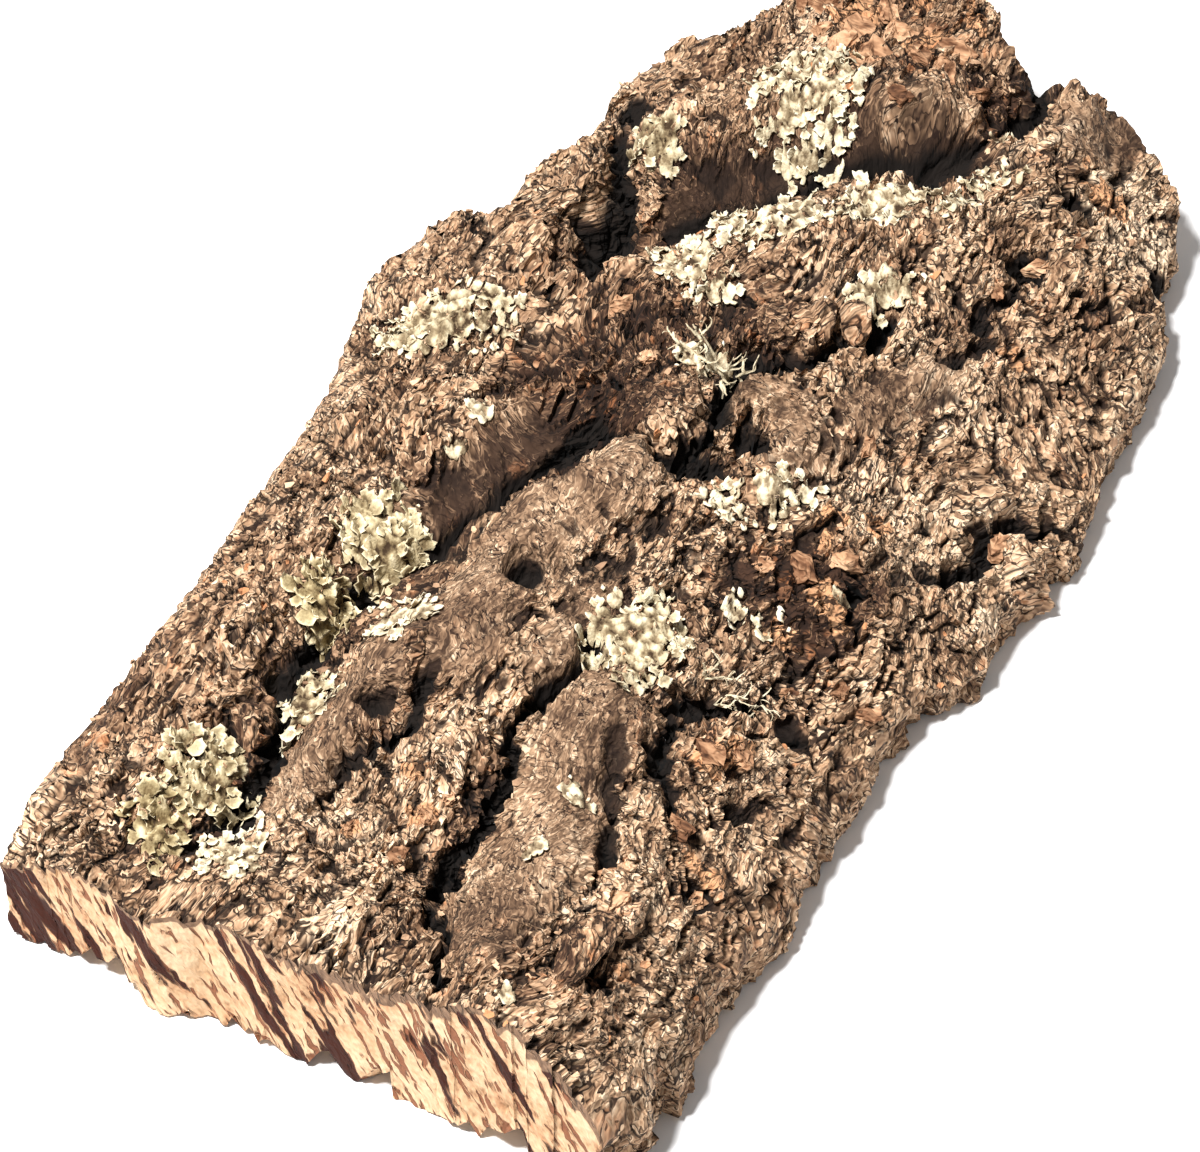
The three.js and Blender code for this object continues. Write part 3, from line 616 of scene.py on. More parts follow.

# %% [markdown]
# Weathered cork is grey-brown to tan. Its cracks are painted nearly black and its hollows darker, as
# painted shade, and the lifted flake edges are paled as a painted highlight. Layers are drawn by cutting
# a noise into steps, as contour lines cut a hill: each step rises slowly and ends in a sharp drop, which
# gives a flake's edge in the bump and a dark line of painted shade at its foot.

# %% Weathered bark
def bark_finish():
    f = Finish("weathered_bark")
    place = f.node("ShaderNodeTexCoord", None, None, 3)
    bent = f.shifted(place, 24.0, 0.034)
    pushed = f.shifted(bent, 420.0, 0.0021)
    calm, tone, bare, stain = f.note("calm"), f.note("tone"), f.note("bare"), f.note("stain")
    small, large, wide = f.note("hollow_small"), f.note("hollow_large"), f.note("hollow_wide")
    layers = f.noise(f.stretched(pushed, (2.4, 0.83, 1.0)), 150.0, 2.0, 0.6)
    flakes = f.node("ShaderNodeMath", {"operation": "FRACT"}, {0: layers * 8.0})
    thin = f.noise(f.stretched(pushed, (2.2, 0.9, 1.25)), 560.0, 1.5, 0.6)
    curls = f.node("ShaderNodeMath", {"operation": "FRACT"}, {0: thin * 3.4})
    cross = f.noise(f.stretched(pushed, (0.77, 2.9, 1.25)), 330.0, 1.0, 0.5)
    patches = f.noise(place, 40.0, 3.0, 0.7)
    mottle = f.noise(bent, 170.0, 2.0, 0.6)
    veins = f.noise(f.stretched(pushed, (1.0, 2.4, 1.2)), 520.0, 2.0, 0.6)
    craze = f.node("ShaderNodeMath", {"operation": "ABSOLUTE"}, {0: veins - 0.5})
    fibre = f.noise(f.stretched(pushed, (2.6, 0.8, 1.0)), 1300.0, 1.0)
    foot = f.ramp(flakes, 0.0, 0.34, 1.0, 0.0) * f.ramp(thin, 0.3, 0.5)
    curl_foot = f.ramp(curls, 0.0, 0.34, 1.0, 0.0) * f.ramp(layers, 0.64, 0.48)
    split = f.node("ShaderNodeMath", {"operation": "ABSOLUTE"}, {0: cross - 0.5})
    cracks = f.ramp(split, 0.006, 0.045, 1.0, 0.0) * f.ramp(patches, 0.34, 0.5)
    # Paler on the lifted edge of each flake and curl: a painted highlight.
    lit_edge = f.ramp(flakes, 0.55, 1.0) * 0.3 + f.ramp(curls, 0.6, 1.0) * 0.22
    light = tone * 0.4 + patches * 1.1 + mottle + lit_edge + fibre * 0.9
    # Darker in wide valleys and in the darkened patches: painted shade. Patches with a negative strength
    # lighten it.
    light = light - 1.26 - calm * 0.1 - stain * 0.38 - f.ramp(wide, 0.0, 0.7) * 0.4
    warm = [
        (0.0, tint(56, 36, 24)), (0.25, tint(112, 83, 61)), (0.5, tint(164, 130, 100)),
        (0.75, tint(204, 170, 137)), (1.0, tint(232, 204, 172)),
    ]
    grey = [
        (0.0, tint(58, 41, 29)), (0.35, tint(112, 87, 66)), (0.65, tint(152, 123, 97)),
        (1.0, tint(208, 180, 150)),
    ]
    warm_colour = f.node("ShaderNodeValToRGB", {"stops": warm}, {0: light})
    grey_colour = f.node("ShaderNodeValToRGB", {"stops": grey}, {0: light})
    colour = f.mixed(calm * 0.8, warm_colour, grey_colour)
    bare_share = f.ramp(bare + patches * 0.5 + thin * 0.5 - 0.5, 0.4, 0.6)
    colour = f.mixed(bare_share, colour, f.mixed(fibre, tint(150, 96, 60), tint(226, 178, 134)))
    rust = f.ramp(mottle, 0.56, 0.66) * f.ramp(thin, 0.4, 0.58) * (0.5 - calm * 0.35)
    colour = f.mixed(rust, colour, tint(178, 112, 68))
    crazing = f.ramp(craze, 0.005, 0.045, 1.0, 0.0) * f.ramp(mottle, 0.4, 0.52) * calm
    # Dark lines at the feet of flakes and curls, along the cracks and in the crazing of the smooth rolls:
    # painted shade.
    lines = f.ramp(foot * 0.9 + curl_foot * 0.6 + cracks * 0.8, 0.08, 0.9) * (1.0 - calm * 0.5)
    lines = lines + crazing * 0.9
    colour = f.mixed(lines * 0.95, colour, tint(32, 17, 9))
    # Darker still in the small and the large hollows of the mesh: painted shade.
    colour = f.mixed(f.ramp(small, 0.02, 0.5) * 0.92, colour, tint(32, 18, 10))
    colour = f.mixed(f.ramp(large, 0.12, 0.75) * 0.98, colour, tint(15, 8, 4))
    height = flakes + curls * 0.35 + fibre * 0.3
    return f.done(colour, 0.92, height * (1.0 - calm * 0.62), 0.0013)


bark_data.materials.append(bark_finish())
print("bark finish:", len(bark_data.materials[0].node_tree.nodes), "nodes")

# %% [markdown]
# Inside, cork is pale and peach-coloured. Its pores run out through the bark, and where the slab was
# sawn and torn across they show as dark slanting streaks. Noise that is stretched along the pores
# draws them, and the lower face gets the same finish.

# %% Bare cork
def cork_finish():
    f = Finish("bare_cork")
    place = f.node("ShaderNodeTexCoord", None, None, 3)
    lean = (math.radians(-22.4), 0, 0)
    pushed = f.shifted(place, 300.0, 0.0014)
    streaks = f.noise(f.stretched(pushed, (3.0, 1.0, 7.0), lean), 230.0, 2.0, 0.6)
    slits = f.noise(f.stretched(pushed, (2.0, 1.0, 6.0), lean), 620.0, 1.5, 0.6)
    fine = f.noise(f.stretched(place, (1.5, 1.0, 2.5), lean), 1100.0, 1.0)
    clouds = f.noise(place, 90.0, 3.0, 0.65)
    crust, dense = f.note("crust"), f.note("dense")
    pale = [(0.3, tint(150, 108, 76)), (0.42, tint(198, 160, 122)), (0.6, tint(218, 188, 152))]
    colour = f.node("ShaderNodeValToRGB", {"stops": pale}, {0: clouds * 0.65 + fine * 0.35})
    deep = f.ramp(streaks - dense * 0.03, 0.53, 0.57)
    narrow = f.ramp(slits + dense * 0.045, 0.58, 0.64)
    flush = f.ramp(streaks - dense * 0.03, 0.48, 0.55) * 0.4 + f.ramp(slits + dense * 0.045, 0.53, 0.62) * 0.4
    colour = f.mixed(flush, colour, tint(192, 124, 84))
    colour = f.mixed(narrow * 0.85, colour, tint(118, 66, 42))
    colour = f.mixed(deep, colour, tint(58, 23, 10))
    worn = f.mixed(fine, tint(70, 48, 36), tint(166, 132, 104))
    colour = f.mixed(f.ramp(crust + clouds * 0.6 - 0.3, 0.4, 0.55), colour, worn)
    return f.done(colour, 0.9, fine * 0.35 + clouds * 0.5 - deep * 1.2 - narrow * 0.6, 0.0016)


bark_data.materials.append(cork_finish())
is_pale = is_near | is_far | (rim_j == CELLS_ACROSS)
on_side = np.concatenate([np.tile(is_pale, SIDE_ROWS), np.ones(bark_points, bool)])
face_count = len(bark_data.polygons)
top_faces = CELLS_ALONG * CELLS_ACROSS
finish_index = np.zeros(face_count, np.int32)
finish_index[top_faces:] = on_side[:face_count - top_faces]
bark_data.polygons.foreach_set("material_index", finish_index)
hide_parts("bark")
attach(bark, "root")
print("faces of bare cork:", int(finish_index.sum()))

# %% [markdown]
# A leafy lichen is a thin crumpled sheet whose lobed margin lifts off the bark. Each one is cut out
# of a small grid that lies on the bark: a formula says how far inside the margin a place is, the
# cells inside are kept, and the outermost points are moved onto the margin itself. Then the sheet is
# given a thickness and closed. A grid keeps even cells however ragged the margin is.

# %% Closed sheets
SHEET_STEP, SHEET_THICKNESS = 0.5, 0.35
RAY_START = 200


def meet_bark(x, y):
    """What a ray from above meets: whether it hits the bark, where, and the way the bark faces there."""
    above = Vector(((x + CENTRING[0]) * MM, (y + CENTRING[1]) * MM, RAY_START * MM))
    hit, place, facing, _ = bark.ray_cast(above, Vector((0, 0, -1)))
    return hit, place, facing


def bark_height(x, y):
    """Height of the finished bark under each place, in millimetres."""
    found = []
    for px, py in zip(x.reshape(-1), y.reshape(-1)):
        hit, place, _ = meet_bark(px, py)
        found.append(place.z / MM if hit else 0.0)
    return np.array(found).reshape(x.shape)


def inside_margin(x, y, at, size, turn, seed):
    """Above 0 inside a lichen and 0 on its margin, with lobes a few millimetres wide and some gaps."""
    a = math.radians(turn)
    dx, dy = x - at[0], y - at[1]
    lengthwise = (dx * math.cos(a) + dy * math.sin(a)) / (0.5 * size[0])
    sideways = (dy * math.cos(a) - dx * math.sin(a)) / (0.5 * size[1])
    bent_x = x + 0.7 * noise(x / 2.1, y / 2.1, seed + 15)
    bent_y = y + 0.7 * noise(x / 2.1, y / 2.1, seed + 17)
    lobe = cells(bent_x / 2.6 + seed, bent_y / 2.6, seed)
    gaps = smooth(0.2, 0.42, layered(x / 4.4, y / 4.4, seed + 5, 3))
    slits = (1 - smooth(0.03, 0.2, lobe["edge"])) * smooth(-0.45, 0.05, noise(x / 3, y / 3, seed + 13))
    depth = 1.5 * (1 - np.hypot(lengthwise, sideways)) + 1.0 * (0.45 - lobe["middle"])
    return depth + 0.5 * layered(x / 7, y / 7, seed + 3, 2) - 1.4 * gaps - 0.95 * slits, lobe


def lichen_sheet(at, size, turn, seed):
    """Points, faces and notes of one closed sheet on the bark."""
    reach = 0.7 * max(size) + 1
    ticks = np.arange(-reach, reach + SHEET_STEP, SHEET_STEP)
    x, y = np.meshgrid(at[0] + ticks, at[1] + ticks, indexing="ij")
    inside, lobe = inside_margin(x, y, at, size, turn, seed)
    kept = inside[:-1, :-1] + inside[1:, :-1] + inside[1:, 1:] + inside[:-1, 1:] > 0
    for _ in range(3):
        a, b, c, d = kept[:-1, :-1], kept[1:, :-1], kept[1:, 1:], kept[:-1, 1:]
        kept[1:, 1:] &= ~(a & c & ~b & ~d)
        kept[1:, :-1] &= ~(b & d & ~a & ~c)
    kept = np.pad(kept, 1)
    around = kept[1:, 1:].astype(int) + kept[:-1, 1:] + kept[1:, :-1] + kept[:-1, :-1]
    kept = kept[1:-1, 1:-1]
    slope_x, slope_y = np.gradient(inside, SHEET_STEP)
    pull = np.where(around < 4, -inside / (slope_x**2 + slope_y**2 + 0.01), 0)
    x = x + np.clip(pull * slope_x, -0.45 * SHEET_STEP, 0.45 * SHEET_STEP)
    y = y + np.clip(pull * slope_y, -0.45 * SHEET_STEP, 0.45 * SHEET_STEP)
    ground = bark_height(x, y)
    ground = np.maximum(ground, blurred(ground, 2))
    edge = 1 - smooth(0.0, 0.4, inside)
    dome = smooth(0.05, 0.55, 0.6 - lobe["middle"])
    crumple = layered(x / 1.7, y / 1.7, seed + 9, 3)
    tilt = lobe["dx"] * (lobe["b"] - 0.5) + lobe["dy"] * (lobe["a"] - 0.5)
    curl = 0.35 + 0.7 * noise(x / 2.3, y / 2.3, seed + 11)
    lift = 0.35 + 0.5 * dome + 0.5 * crumple + 2.0 * tilt + edge * curl
    used = around > 0
    count = int(used.sum())
    index = np.full(used.shape, -1)
    index[used] = np.arange(count)
    top = np.stack([x + CENTRING[0], y + CENTRING[1], ground + np.maximum(lift, 0.1)], -1)[used]
    corner = [index[:-1, :-1], index[1:, :-1], index[1:, 1:], index[:-1, 1:]]
    upper = np.stack([c[kept] for c in corner], -1)
    faces = [upper, upper[:, ::-1] + count]
    open_side = np.pad(kept, 1)
    beside = [open_side[1:-1, :-2], open_side[2:, 1:-1], open_side[1:-1, 2:], open_side[:-2, 1:-1]]
    for k in range(4):
        rim = kept & ~beside[k]
        start, end = corner[k][rim], corner[(k + 1) % 4][rim]
        faces.append(np.stack([end, start, start + count, end + count], -1))
    away = -np.stack([slope_x, slope_y, np.zeros_like(slope_x)], -1)[used]
    # Lighter on domes and crumpled crests and darker in the creases between them: painted shade, carried by
    # the fold note.
    folds = 0.75 * dome + 0.45 * crumple + 0.6 * tilt
    notes = {"rim": edge[used], "pick": lobe["a"][used], "fold": folds[used]}
    low = top - np.array([0, 0, SHEET_THICKNESS])
    return np.concatenate([top, low]), np.concatenate(faces), notes, away


def sheets_mesh(name, sheets):
    """One mesh of one or more closed sheets, with their notes on it."""
    points, faces, first = [], [], 0
    for sheet_points, sheet_faces, _, _ in sheets:
        points.append(sheet_points)
        faces.append(sheet_faces + first)
        first += len(sheet_points)
    mesh = bpy.data.meshes.new(name)
    mesh.from_pydata((np.concatenate(points) * MM).tolist(), [], np.concatenate(faces).tolist())
    mesh.shade_smooth()
    for key in ("rim", "pick", "fold"):
        # The lower side of each sheet gets half of each note, which paints it darker underneath: painted
        # shade.
        values = [np.concatenate([notes[key], 0.5 * notes[key]]) for _, _, notes, _ in sheets]
        write_attribute(mesh, key, np.concatenate(values).astype(np.float32))
    on_top = [np.repeat([1.0, 0.0], len(away)) for _, _, _, away in sheets]
    write_attribute(mesh, "upper", np.concatenate(on_top).astype(np.float32))
    ways = np.concatenate([np.concatenate([away, away]) for _, _, _, away in sheets]).astype(np.float32)
    mesh.attributes.new("away", "FLOAT_VECTOR", "POINT").data.foreach_set("vector", ways.reshape(-1))
    return mesh


def linked(name, mesh):
    piece = bpy.data.objects.new(name, mesh)
    bpy.context.collection.objects.link(piece)
    return piece


bpy.context.view_layer.update()
print("bark under the middle: %.1f mm" % bark_height(np.array([0.0]), np.array([0.0]))[0])

# %% [markdown]
# Small lobes stand along the margins, and on the greener lichens they cover the whole sheet. One
# lobe is shaped in three forms. Geometry Nodes set them on the sheet: points are scattered at a
# spacing, each lobe lies along the sheet and points outward, and all of it is made one mesh. Placing
# hundreds by hand would look no better.

# %% Lobes
def closed_shell(name, top, low):
    """A mesh from two grids of points, closed along their common rim."""
    rows, columns = top.shape[:2]
    count = rows * columns
    index = np.arange(count).reshape(rows, columns)
    upper = np.stack([index[:-1, :-1], index[1:, :-1], index[1:, 1:], index[:-1, 1:]], -1).reshape(-1, 4)
    loop = np.concatenate([index[:, 0], index[-1, 1:], index[-2::-1, -1], index[0, -2:0:-1]])
    after = np.roll(loop, -1)
    walls = np.stack([after, loop, loop + count, after + count], -1)
    mesh = bpy.data.meshes.new(name)
    points = np.concatenate([top.reshape(-1, 3), low.reshape(-1, 3)])
    mesh.from_pydata(points.tolist(), [], np.concatenate([upper, upper[:, ::-1] + count, walls]).tolist())
    return mesh


def lobe_piece(number):
    """A fan-shaped lobe one unit long, narrow at its foot, scalloped and ruffled at its rim."""
    s, t = np.meshgrid(np.linspace(0, 1, 5), np.linspace(-1, 1, 7), indexing="ij")
    scallop = 1 + 0.12 * s * np.cos((2.6 + 0.3 * number) * np.pi * t + number) - 0.5 * s * t**2
    z = 0.16 * s**2 + 0.14 * s * np.sin(2.4 * np.pi * t + 2.1 * number) + 0.1 * s**2 * t**2 - 0.05
    top = np.stack([s * scallop, (0.24 + 0.52 * s**0.7) * t * (1 - 0.12 * s**3), z], -1)
    mesh = closed_shell("lobe_%d" % number, top, top - np.array([0, 0, 0.07]))
    mesh.shade_smooth()
    rim = np.clip(s**2.5 + 0.35 * np.abs(t) ** 4, 0, 1).reshape(-1)
    # The lower side gets smaller notes, which paints it darker underneath as painted shade, and the fold note
    # lightens the raised tip as a painted highlight.
    write_attribute(mesh, "rim", np.concatenate([rim, 0.4 * rim]).astype(np.float32))
    write_attribute(mesh, "fold", np.concatenate([0.3 + 0.5 * rim, 0.2 * rim]).astype(np.float32))
    return bpy.data.objects.new(mesh.name, mesh)


lobes = [lobe_piece(number) for number in range(3)]
print("faces of a lobe:", len(lobes[0].data.polygons))

# %% Trees of Geometry Nodes
class Recipe(Board):
    """A Geometry Nodes tree with named inputs, which scatters copies over a surface."""

    def __init__(self, name, inputs):
        self.tree = bpy.data.node_groups.new(name, "GeometryNodeTree")
        panel = self.tree.interface
        panel.new_socket("Surface", in_out="INPUT", socket_type="NodeSocketGeometry")
        self.sockets = {}
        for label, kind in inputs:
            self.sockets[label] = panel.new_socket(label, in_out="INPUT", socket_type="NodeSocket" + kind)
        panel.new_socket("Geometry", in_out="OUTPUT", socket_type="NodeSocketGeometry")
        self.group = self.tree.nodes.new("NodeGroupInput")

    def given(self, label):
        return Wire(self, self.group.outputs[label])

    def random(self, low, high, seed):
        return self.node("FunctionNodeRandomValue", {"data_type": "FLOAT"}, {2: low, 3: high, 8: seed}, 1)

    def joined(self, parts):
        join = self.tree.nodes.new("GeometryNodeJoinGeometry")
        for part in parts:
            self.tree.links.new(part.socket, join.inputs[0])
        return Wire(self, join.outputs[0])

    def shape(self, source):
        return self.node("GeometryNodeObjectInfo", None, {"Object": source, "As Instance": True}, 4)

    def scattered(self, density, where, away, sway, shapes):
        """Copies of the shapes on points of the surface, laid along it and turned by random angles."""
        seed = self.given("Seed")
        points = self.node("GeometryNodeDistributePointsOnFaces", {"distribute_method": "POISSON"}, {
            "Mesh": self.given("Surface"), "Distance Min": self.given("Spacing"), "Density Max": density,
            "Density Factor": where, "Seed": seed})
        normal = Wire(self, points.socket.node.outputs[1])
        lying = self.node("FunctionNodeAlignRotationToVector", {"axis": "Z"}, {"Vector": normal})
        if away is not None:
            aim = {"axis": "X", "pivot_axis": "Z"}
            lying = self.node("FunctionNodeAlignRotationToVector", aim, {"Rotation": lying, "Vector": away})
        angles = {axis: self.random(low, high, 3 + axis) for axis, (low, high) in enumerate(sway)}
        euler = self.node("ShaderNodeCombineXYZ", None, angles)
        turn = self.node("FunctionNodeEulerToRotation", None, {0: euler})
        turned = self.node("FunctionNodeRotateRotation", {"rotation_space": "LOCAL"}, {0: lying, 1: turn})
        choice = {4: 0, 5: len(shapes) - 1, 8: seed}
        which = self.node("FunctionNodeRandomValue", {"data_type": "INT"}, choice, 2)
        copies = self.node("GeometryNodeInstanceOnPoints", None, {
            "Points": points, "Instance": self.joined([self.shape(s) for s in shapes]), "Pick Instance": True,
            "Instance Index": which, "Rotation": turned,
            "Scale": self.random(self.given("Smallest"), self.given("Largest"), seed)})
        return self.node("GeometryNodeStoreNamedAttribute", {"data_type": "FLOAT", "domain": "INSTANCE"}, {
            "Geometry": copies, "Name": "pick", "Value": self.random(0.0, 1.0, 11)})

    def finished(self, geometry):
        real = self.node("GeometryNodeRealizeInstances", None, {"Geometry": geometry})
        values = {"Geometry": real, "Material": self.given("Material")}
        dressed = self.node("GeometryNodeSetMaterial", None, values)
        self.node("NodeGroupOutput", None, {"Geometry": dressed})
        return self

    def apply(self, piece, values):
        """Run the tree on a piece and keep the result as its plain mesh."""
        modifier = piece.modifiers.new("recipe", "NODES")
        modifier.node_group = self.tree
        for label, value in values.items():
            modifier[self.sockets[label].identifier] = value
        depsgraph = bpy.context.evaluated_depsgraph_get()
        evaluated = piece.evaluated_get(depsgraph)
        made = bpy.data.meshes.new_from_object(evaluated, preserve_all_data_layers=True, depsgraph=depsgraph)
        piece.modifiers.clear()
        piece.data = made
        return len(made.polygons)


SCATTER_INPUTS = [
    ("Spacing", "Float"), ("Smallest", "Float"), ("Largest", "Float"), ("Seed", "Int"),
    ("Material", "Material"),
]


def lobe_recipe():
    r = Recipe("lichen_lobes", SCATTER_INPUTS)
    where = r.node("GeometryNodeInputNamedAttribute", {"data_type": "FLOAT"}, {"Name": "leafy"})
    away = r.node("GeometryNodeInputNamedAttribute", {"data_type": "FLOAT_VECTOR"}, {"Name": "away"})
    leaves = r.scattered(600000.0, where, away, [(-0.35, 0.35), (-0.5, 0.1), (-0.9, 0.9)], lobes)
    return r.finished(r.joined([r.given("Surface"), leaves]))


lobe_tree = lobe_recipe()
print("lobe tree:", len(lobe_tree.tree.nodes), "nodes")

# %% Lichen finish
def lichen_finish():
    f = Finish("lichen")
    place = f.node("ShaderNodeTexCoord", None, None, 3)
    rim, pick, fold, green = f.note("rim"), f.note("pick"), f.note("fold"), f.note("green")
    mottle = f.noise(place, 420.0, 2.0, 0.6)
    grain = f.noise(place, 1700.0, 1.0)
    # The fold note lightens crests and darkens creases and lower sides: painted shade.
    light = rim * 0.3 + pick * 0.2 + fold * 0.65 + mottle * 0.7 + grain * 0.35 - 0.5
    pale = [
        (0.0, tint(56, 40, 24)), (0.25, tint(140, 122, 95)), (0.5, tint(202, 188, 158)),
        (0.9, tint(238, 229, 204)),
    ]
    leafy = [
        (0.0, tint(48, 33, 15)), (0.25, tint(102, 84, 52)), (0.55, tint(158, 140, 100)),
        (1.0, tint(230, 212, 174)),
    ]
    pale_colour = f.node("ShaderNodeValToRGB", {"stops": pale}, {0: light})
    leafy_colour = f.node("ShaderNodeValToRGB", {"stops": leafy}, {0: light})
    return f.done(f.mixed(green, pale_colour, leafy_colour), 0.85, mottle * 0.7 + grain * 0.4, 0.0005)


lichen_material = lichen_finish()
print("lichen finish:", len(lichen_material.node_tree.nodes), "nodes")

# %% Lichens on the bark
LICHENS = [
    ("lichen_far_lobe", (97, 17), (28, 22), 29, 0.2), ("lichen_cup", (74, 41), (13, 11), 20, 0.45),
    ("lichen_diagonal", (41, 15), (25, 11), 62, 0.1), ("lichen_shelf_left", (59, 6), (25, 18), -50, 0.05),
    ("lichen_shelf_right", (77, -16), (30, 14), -48, 0.05), ("lichen_notch", (98, -28), (14, 8), -40, 0.3),
    ("lichen_flat", (52, -23), (22, 7), -45, 0.2), ("lichen_scar", (-9, -28), (20, 12), -50, 0.1),
    ("lichen_plateau", (4, 53), (30, 18), -55, 0.3), ("lichen_upper_lobes", (-52, 36), (17, 15), -40, 0.7),
    ("lichen_middle_lobes", (-70, 38), (13, 10), 10, 0.9), ("lichen_groove", (-71, 20), (18, 13), 40, 0.0),
    ("lichen_tail", (-92, 29), (21, 10), 20, 0.3), ("lichen_lower_lobes", (-116, 37), (17, 13), -20, 0.7),
    ("lichen_corner", (-132, 38), (12, 10), 0, 0.9), ("lichen_near", (-131, 23), (17, 13), 35, 0.0),
    ("lichen_centre", (-53, -23), (25, 18), 15, 0.35),
]
GREEN_ENOUGH = 0.6


def lichen_piece(number, name, at, size, turn, green):
    mesh = sheets_mesh(name, [lichen_sheet(at, size, turn, 600 + 20 * number)])
    piece = linked(name + "_sheet", mesh)
    is_green = green > GREEN_ENOUGH
    notes = {key: np.zeros(len(mesh.vertices), np.float32) for key in ("rim", "upper")}
    for key, values in notes.items():
        mesh.attributes[key].data.foreach_get("value", values)
    write_attribute(mesh, "leafy", notes["upper"] * (1.0 if is_green else notes["rim"]))
    smallest, largest = (2.0, 4.0) if is_green else (1.3, 2.8)
    values = {"Spacing": 0.55 * largest * MM, "Smallest": smallest * MM, "Largest": largest * MM}
    faces = lobe_tree.apply(piece, values | {"Seed": 40 + number, "Material": lichen_material})
    write_attribute(piece.data, "green", np.full(len(piece.data.vertices), green, np.float32))
    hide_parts(name)
    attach(piece, "root")
    return faces


lichen_faces = [lichen_piece(number, *row) for number, row in enumerate(LICHENS)]
print("lichens:", len(LICHENS), "pieces,", sum(lichen_faces), "faces, largest", max(lichen_faces))

# %% [markdown]
# Here and there a lichen has only just started. These specks are the same sheets, a few millimetres
# wide, and they are kept in one piece because nothing else tells them apart.

# %% Lichen specks
SPECKS = [
    ((-94, -32), 6), ((-141, -44), 5), ((-15, 34), 6), ((-25, 33), 5), ((-32, -42), 9),
    ((101, -24), 5), ((-34, -35), 6), ((-49, -32), 5), ((-96, -35), 6), ((-109, -32), 5),
    ((-17, -50), 5), ((16, 2), 9), ((48, 30), 6), ((114, -22), 5), ((19, -3), 7),
]
speck_sheets = []
for k, (at, width) in enumerate(SPECKS):
    speck_sheets.append(lichen_sheet(at, (width, 0.8 * width), 37 * k, 1200 + 20 * k))
specks = linked("lichen_specks", sheets_mesh("lichen_specks", speck_sheets))
specks.data.materials.append(lichen_material)
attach(specks, "root")
print("specks:", len(SPECKS))

# %% [markdown]
# Two tufts of shrubby lichen hang in the splits. Each is a handful of forked strands. A strand is a
# thin tapering tube round a wandering line, and its forks are strands again, so one function that
# calls itself makes a whole tuft.

# %% Shrubby tufts
STRAND_SIDES, STRAND_STEPS = 5, 6


def strand(start, heading, length, radius, forks, rng):
    """Points and faces of one strand and of its forks."""
    line = [np.array(start, float)]
    for _ in range(STRAND_STEPS):
        heading = heading + rng.normal(0, 0.28, 3)
        heading = heading / np.linalg.norm(heading)
        line.append(line[-1] + heading * length / STRAND_STEPS)
    turn = np.arange(STRAND_SIDES) / STRAND_SIDES * 2 * np.pi
    side = np.cross(heading, (0.2, 0.3, 0.9))
    side = side / np.linalg.norm(side)
    rise = np.cross(side, heading)
    flat_ring = 1.5 * np.cos(turn)[:, None] * side + 0.7 * np.sin(turn)[:, None] * rise
    taper = 1 - 0.7 * np.arange(STRAND_STEPS + 1) / STRAND_STEPS
    points = np.concatenate([middle + radius * thin * flat_ring for middle, thin in zip(line, taper)])
    faces = []
    for k in range(STRAND_STEPS):
        for m in range(STRAND_SIDES):
            a, b = k * STRAND_SIDES + m, k * STRAND_SIDES + (m + 1) % STRAND_SIDES
            faces.append((a, b, b + STRAND_SIDES, a + STRAND_SIDES))
    faces.append(tuple(range(STRAND_SIDES - 1, -1, -1)))
    faces.append(tuple(range(STRAND_STEPS * STRAND_SIDES, (STRAND_STEPS + 1) * STRAND_SIDES)))
    for _ in range(forks):
        root = line[rng.integers(2, STRAND_STEPS)]
        split = heading + rng.normal(0, 0.6, 3)
        split = split / np.linalg.norm(split)
        more_points, more_faces = strand(root, split, 0.55 * length, 0.6 * radius, forks - 1, rng)
        faces += [tuple(i + len(points) for i in face) for face in more_faces]
        points = np.concatenate([points, more_points])
    return points, faces


def tuft_piece(name, roots, lean, length, radius, green, seed):
    rng = np.random.default_rng(seed)
    points, faces, first = [], [], 0
    for x, y in roots:
        z = bark_height(np.array([float(x)]), np.array([float(y)]))[0]
        for _ in range(3):
            heading = np.array(lean) + rng.normal(0, 0.45, 3)
            start = (x + CENTRING[0], y + CENTRING[1], z)
            heading = heading / np.linalg.norm(heading)
            grown = strand(start, heading, length * rng.uniform(0.6, 1), radius, 2, rng)
            points.append(grown[0])
            faces += [tuple(i + first for i in face) for face in grown[1]]
            first += len(grown[0])
    mesh = bpy.data.meshes.new(name)
    mesh.from_pydata((np.concatenate(points) * MM).tolist(), [], faces)
    mesh.shade_smooth()
    write_attribute(mesh, "green", np.full(first, green, np.float32))
    write_attribute(mesh, "fold", np.full(first, 0.7, np.float32))
    mesh.materials.append(lichen_material)
    piece = linked(name, mesh)
    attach(piece, "root")
    print(name + ":", len(mesh.polygons), "faces")


STRAP_ROOTS = [(17, 1), (20, -2), (22, -6), (18, 4)]
THREAD_ROOTS = [(-53, -41), (-50, -44), (-48, -47), (-52, -38)]
tuft_piece("strap_tuft", STRAP_ROOTS, (-0.4, -0.2, 0.5), 11, 0.55, 0.1, 21)
tuft_piece("thread_tuft", THREAD_ROOTS, (0.1, -0.4, 0.5), 8, 0.34, 0.0, 22)
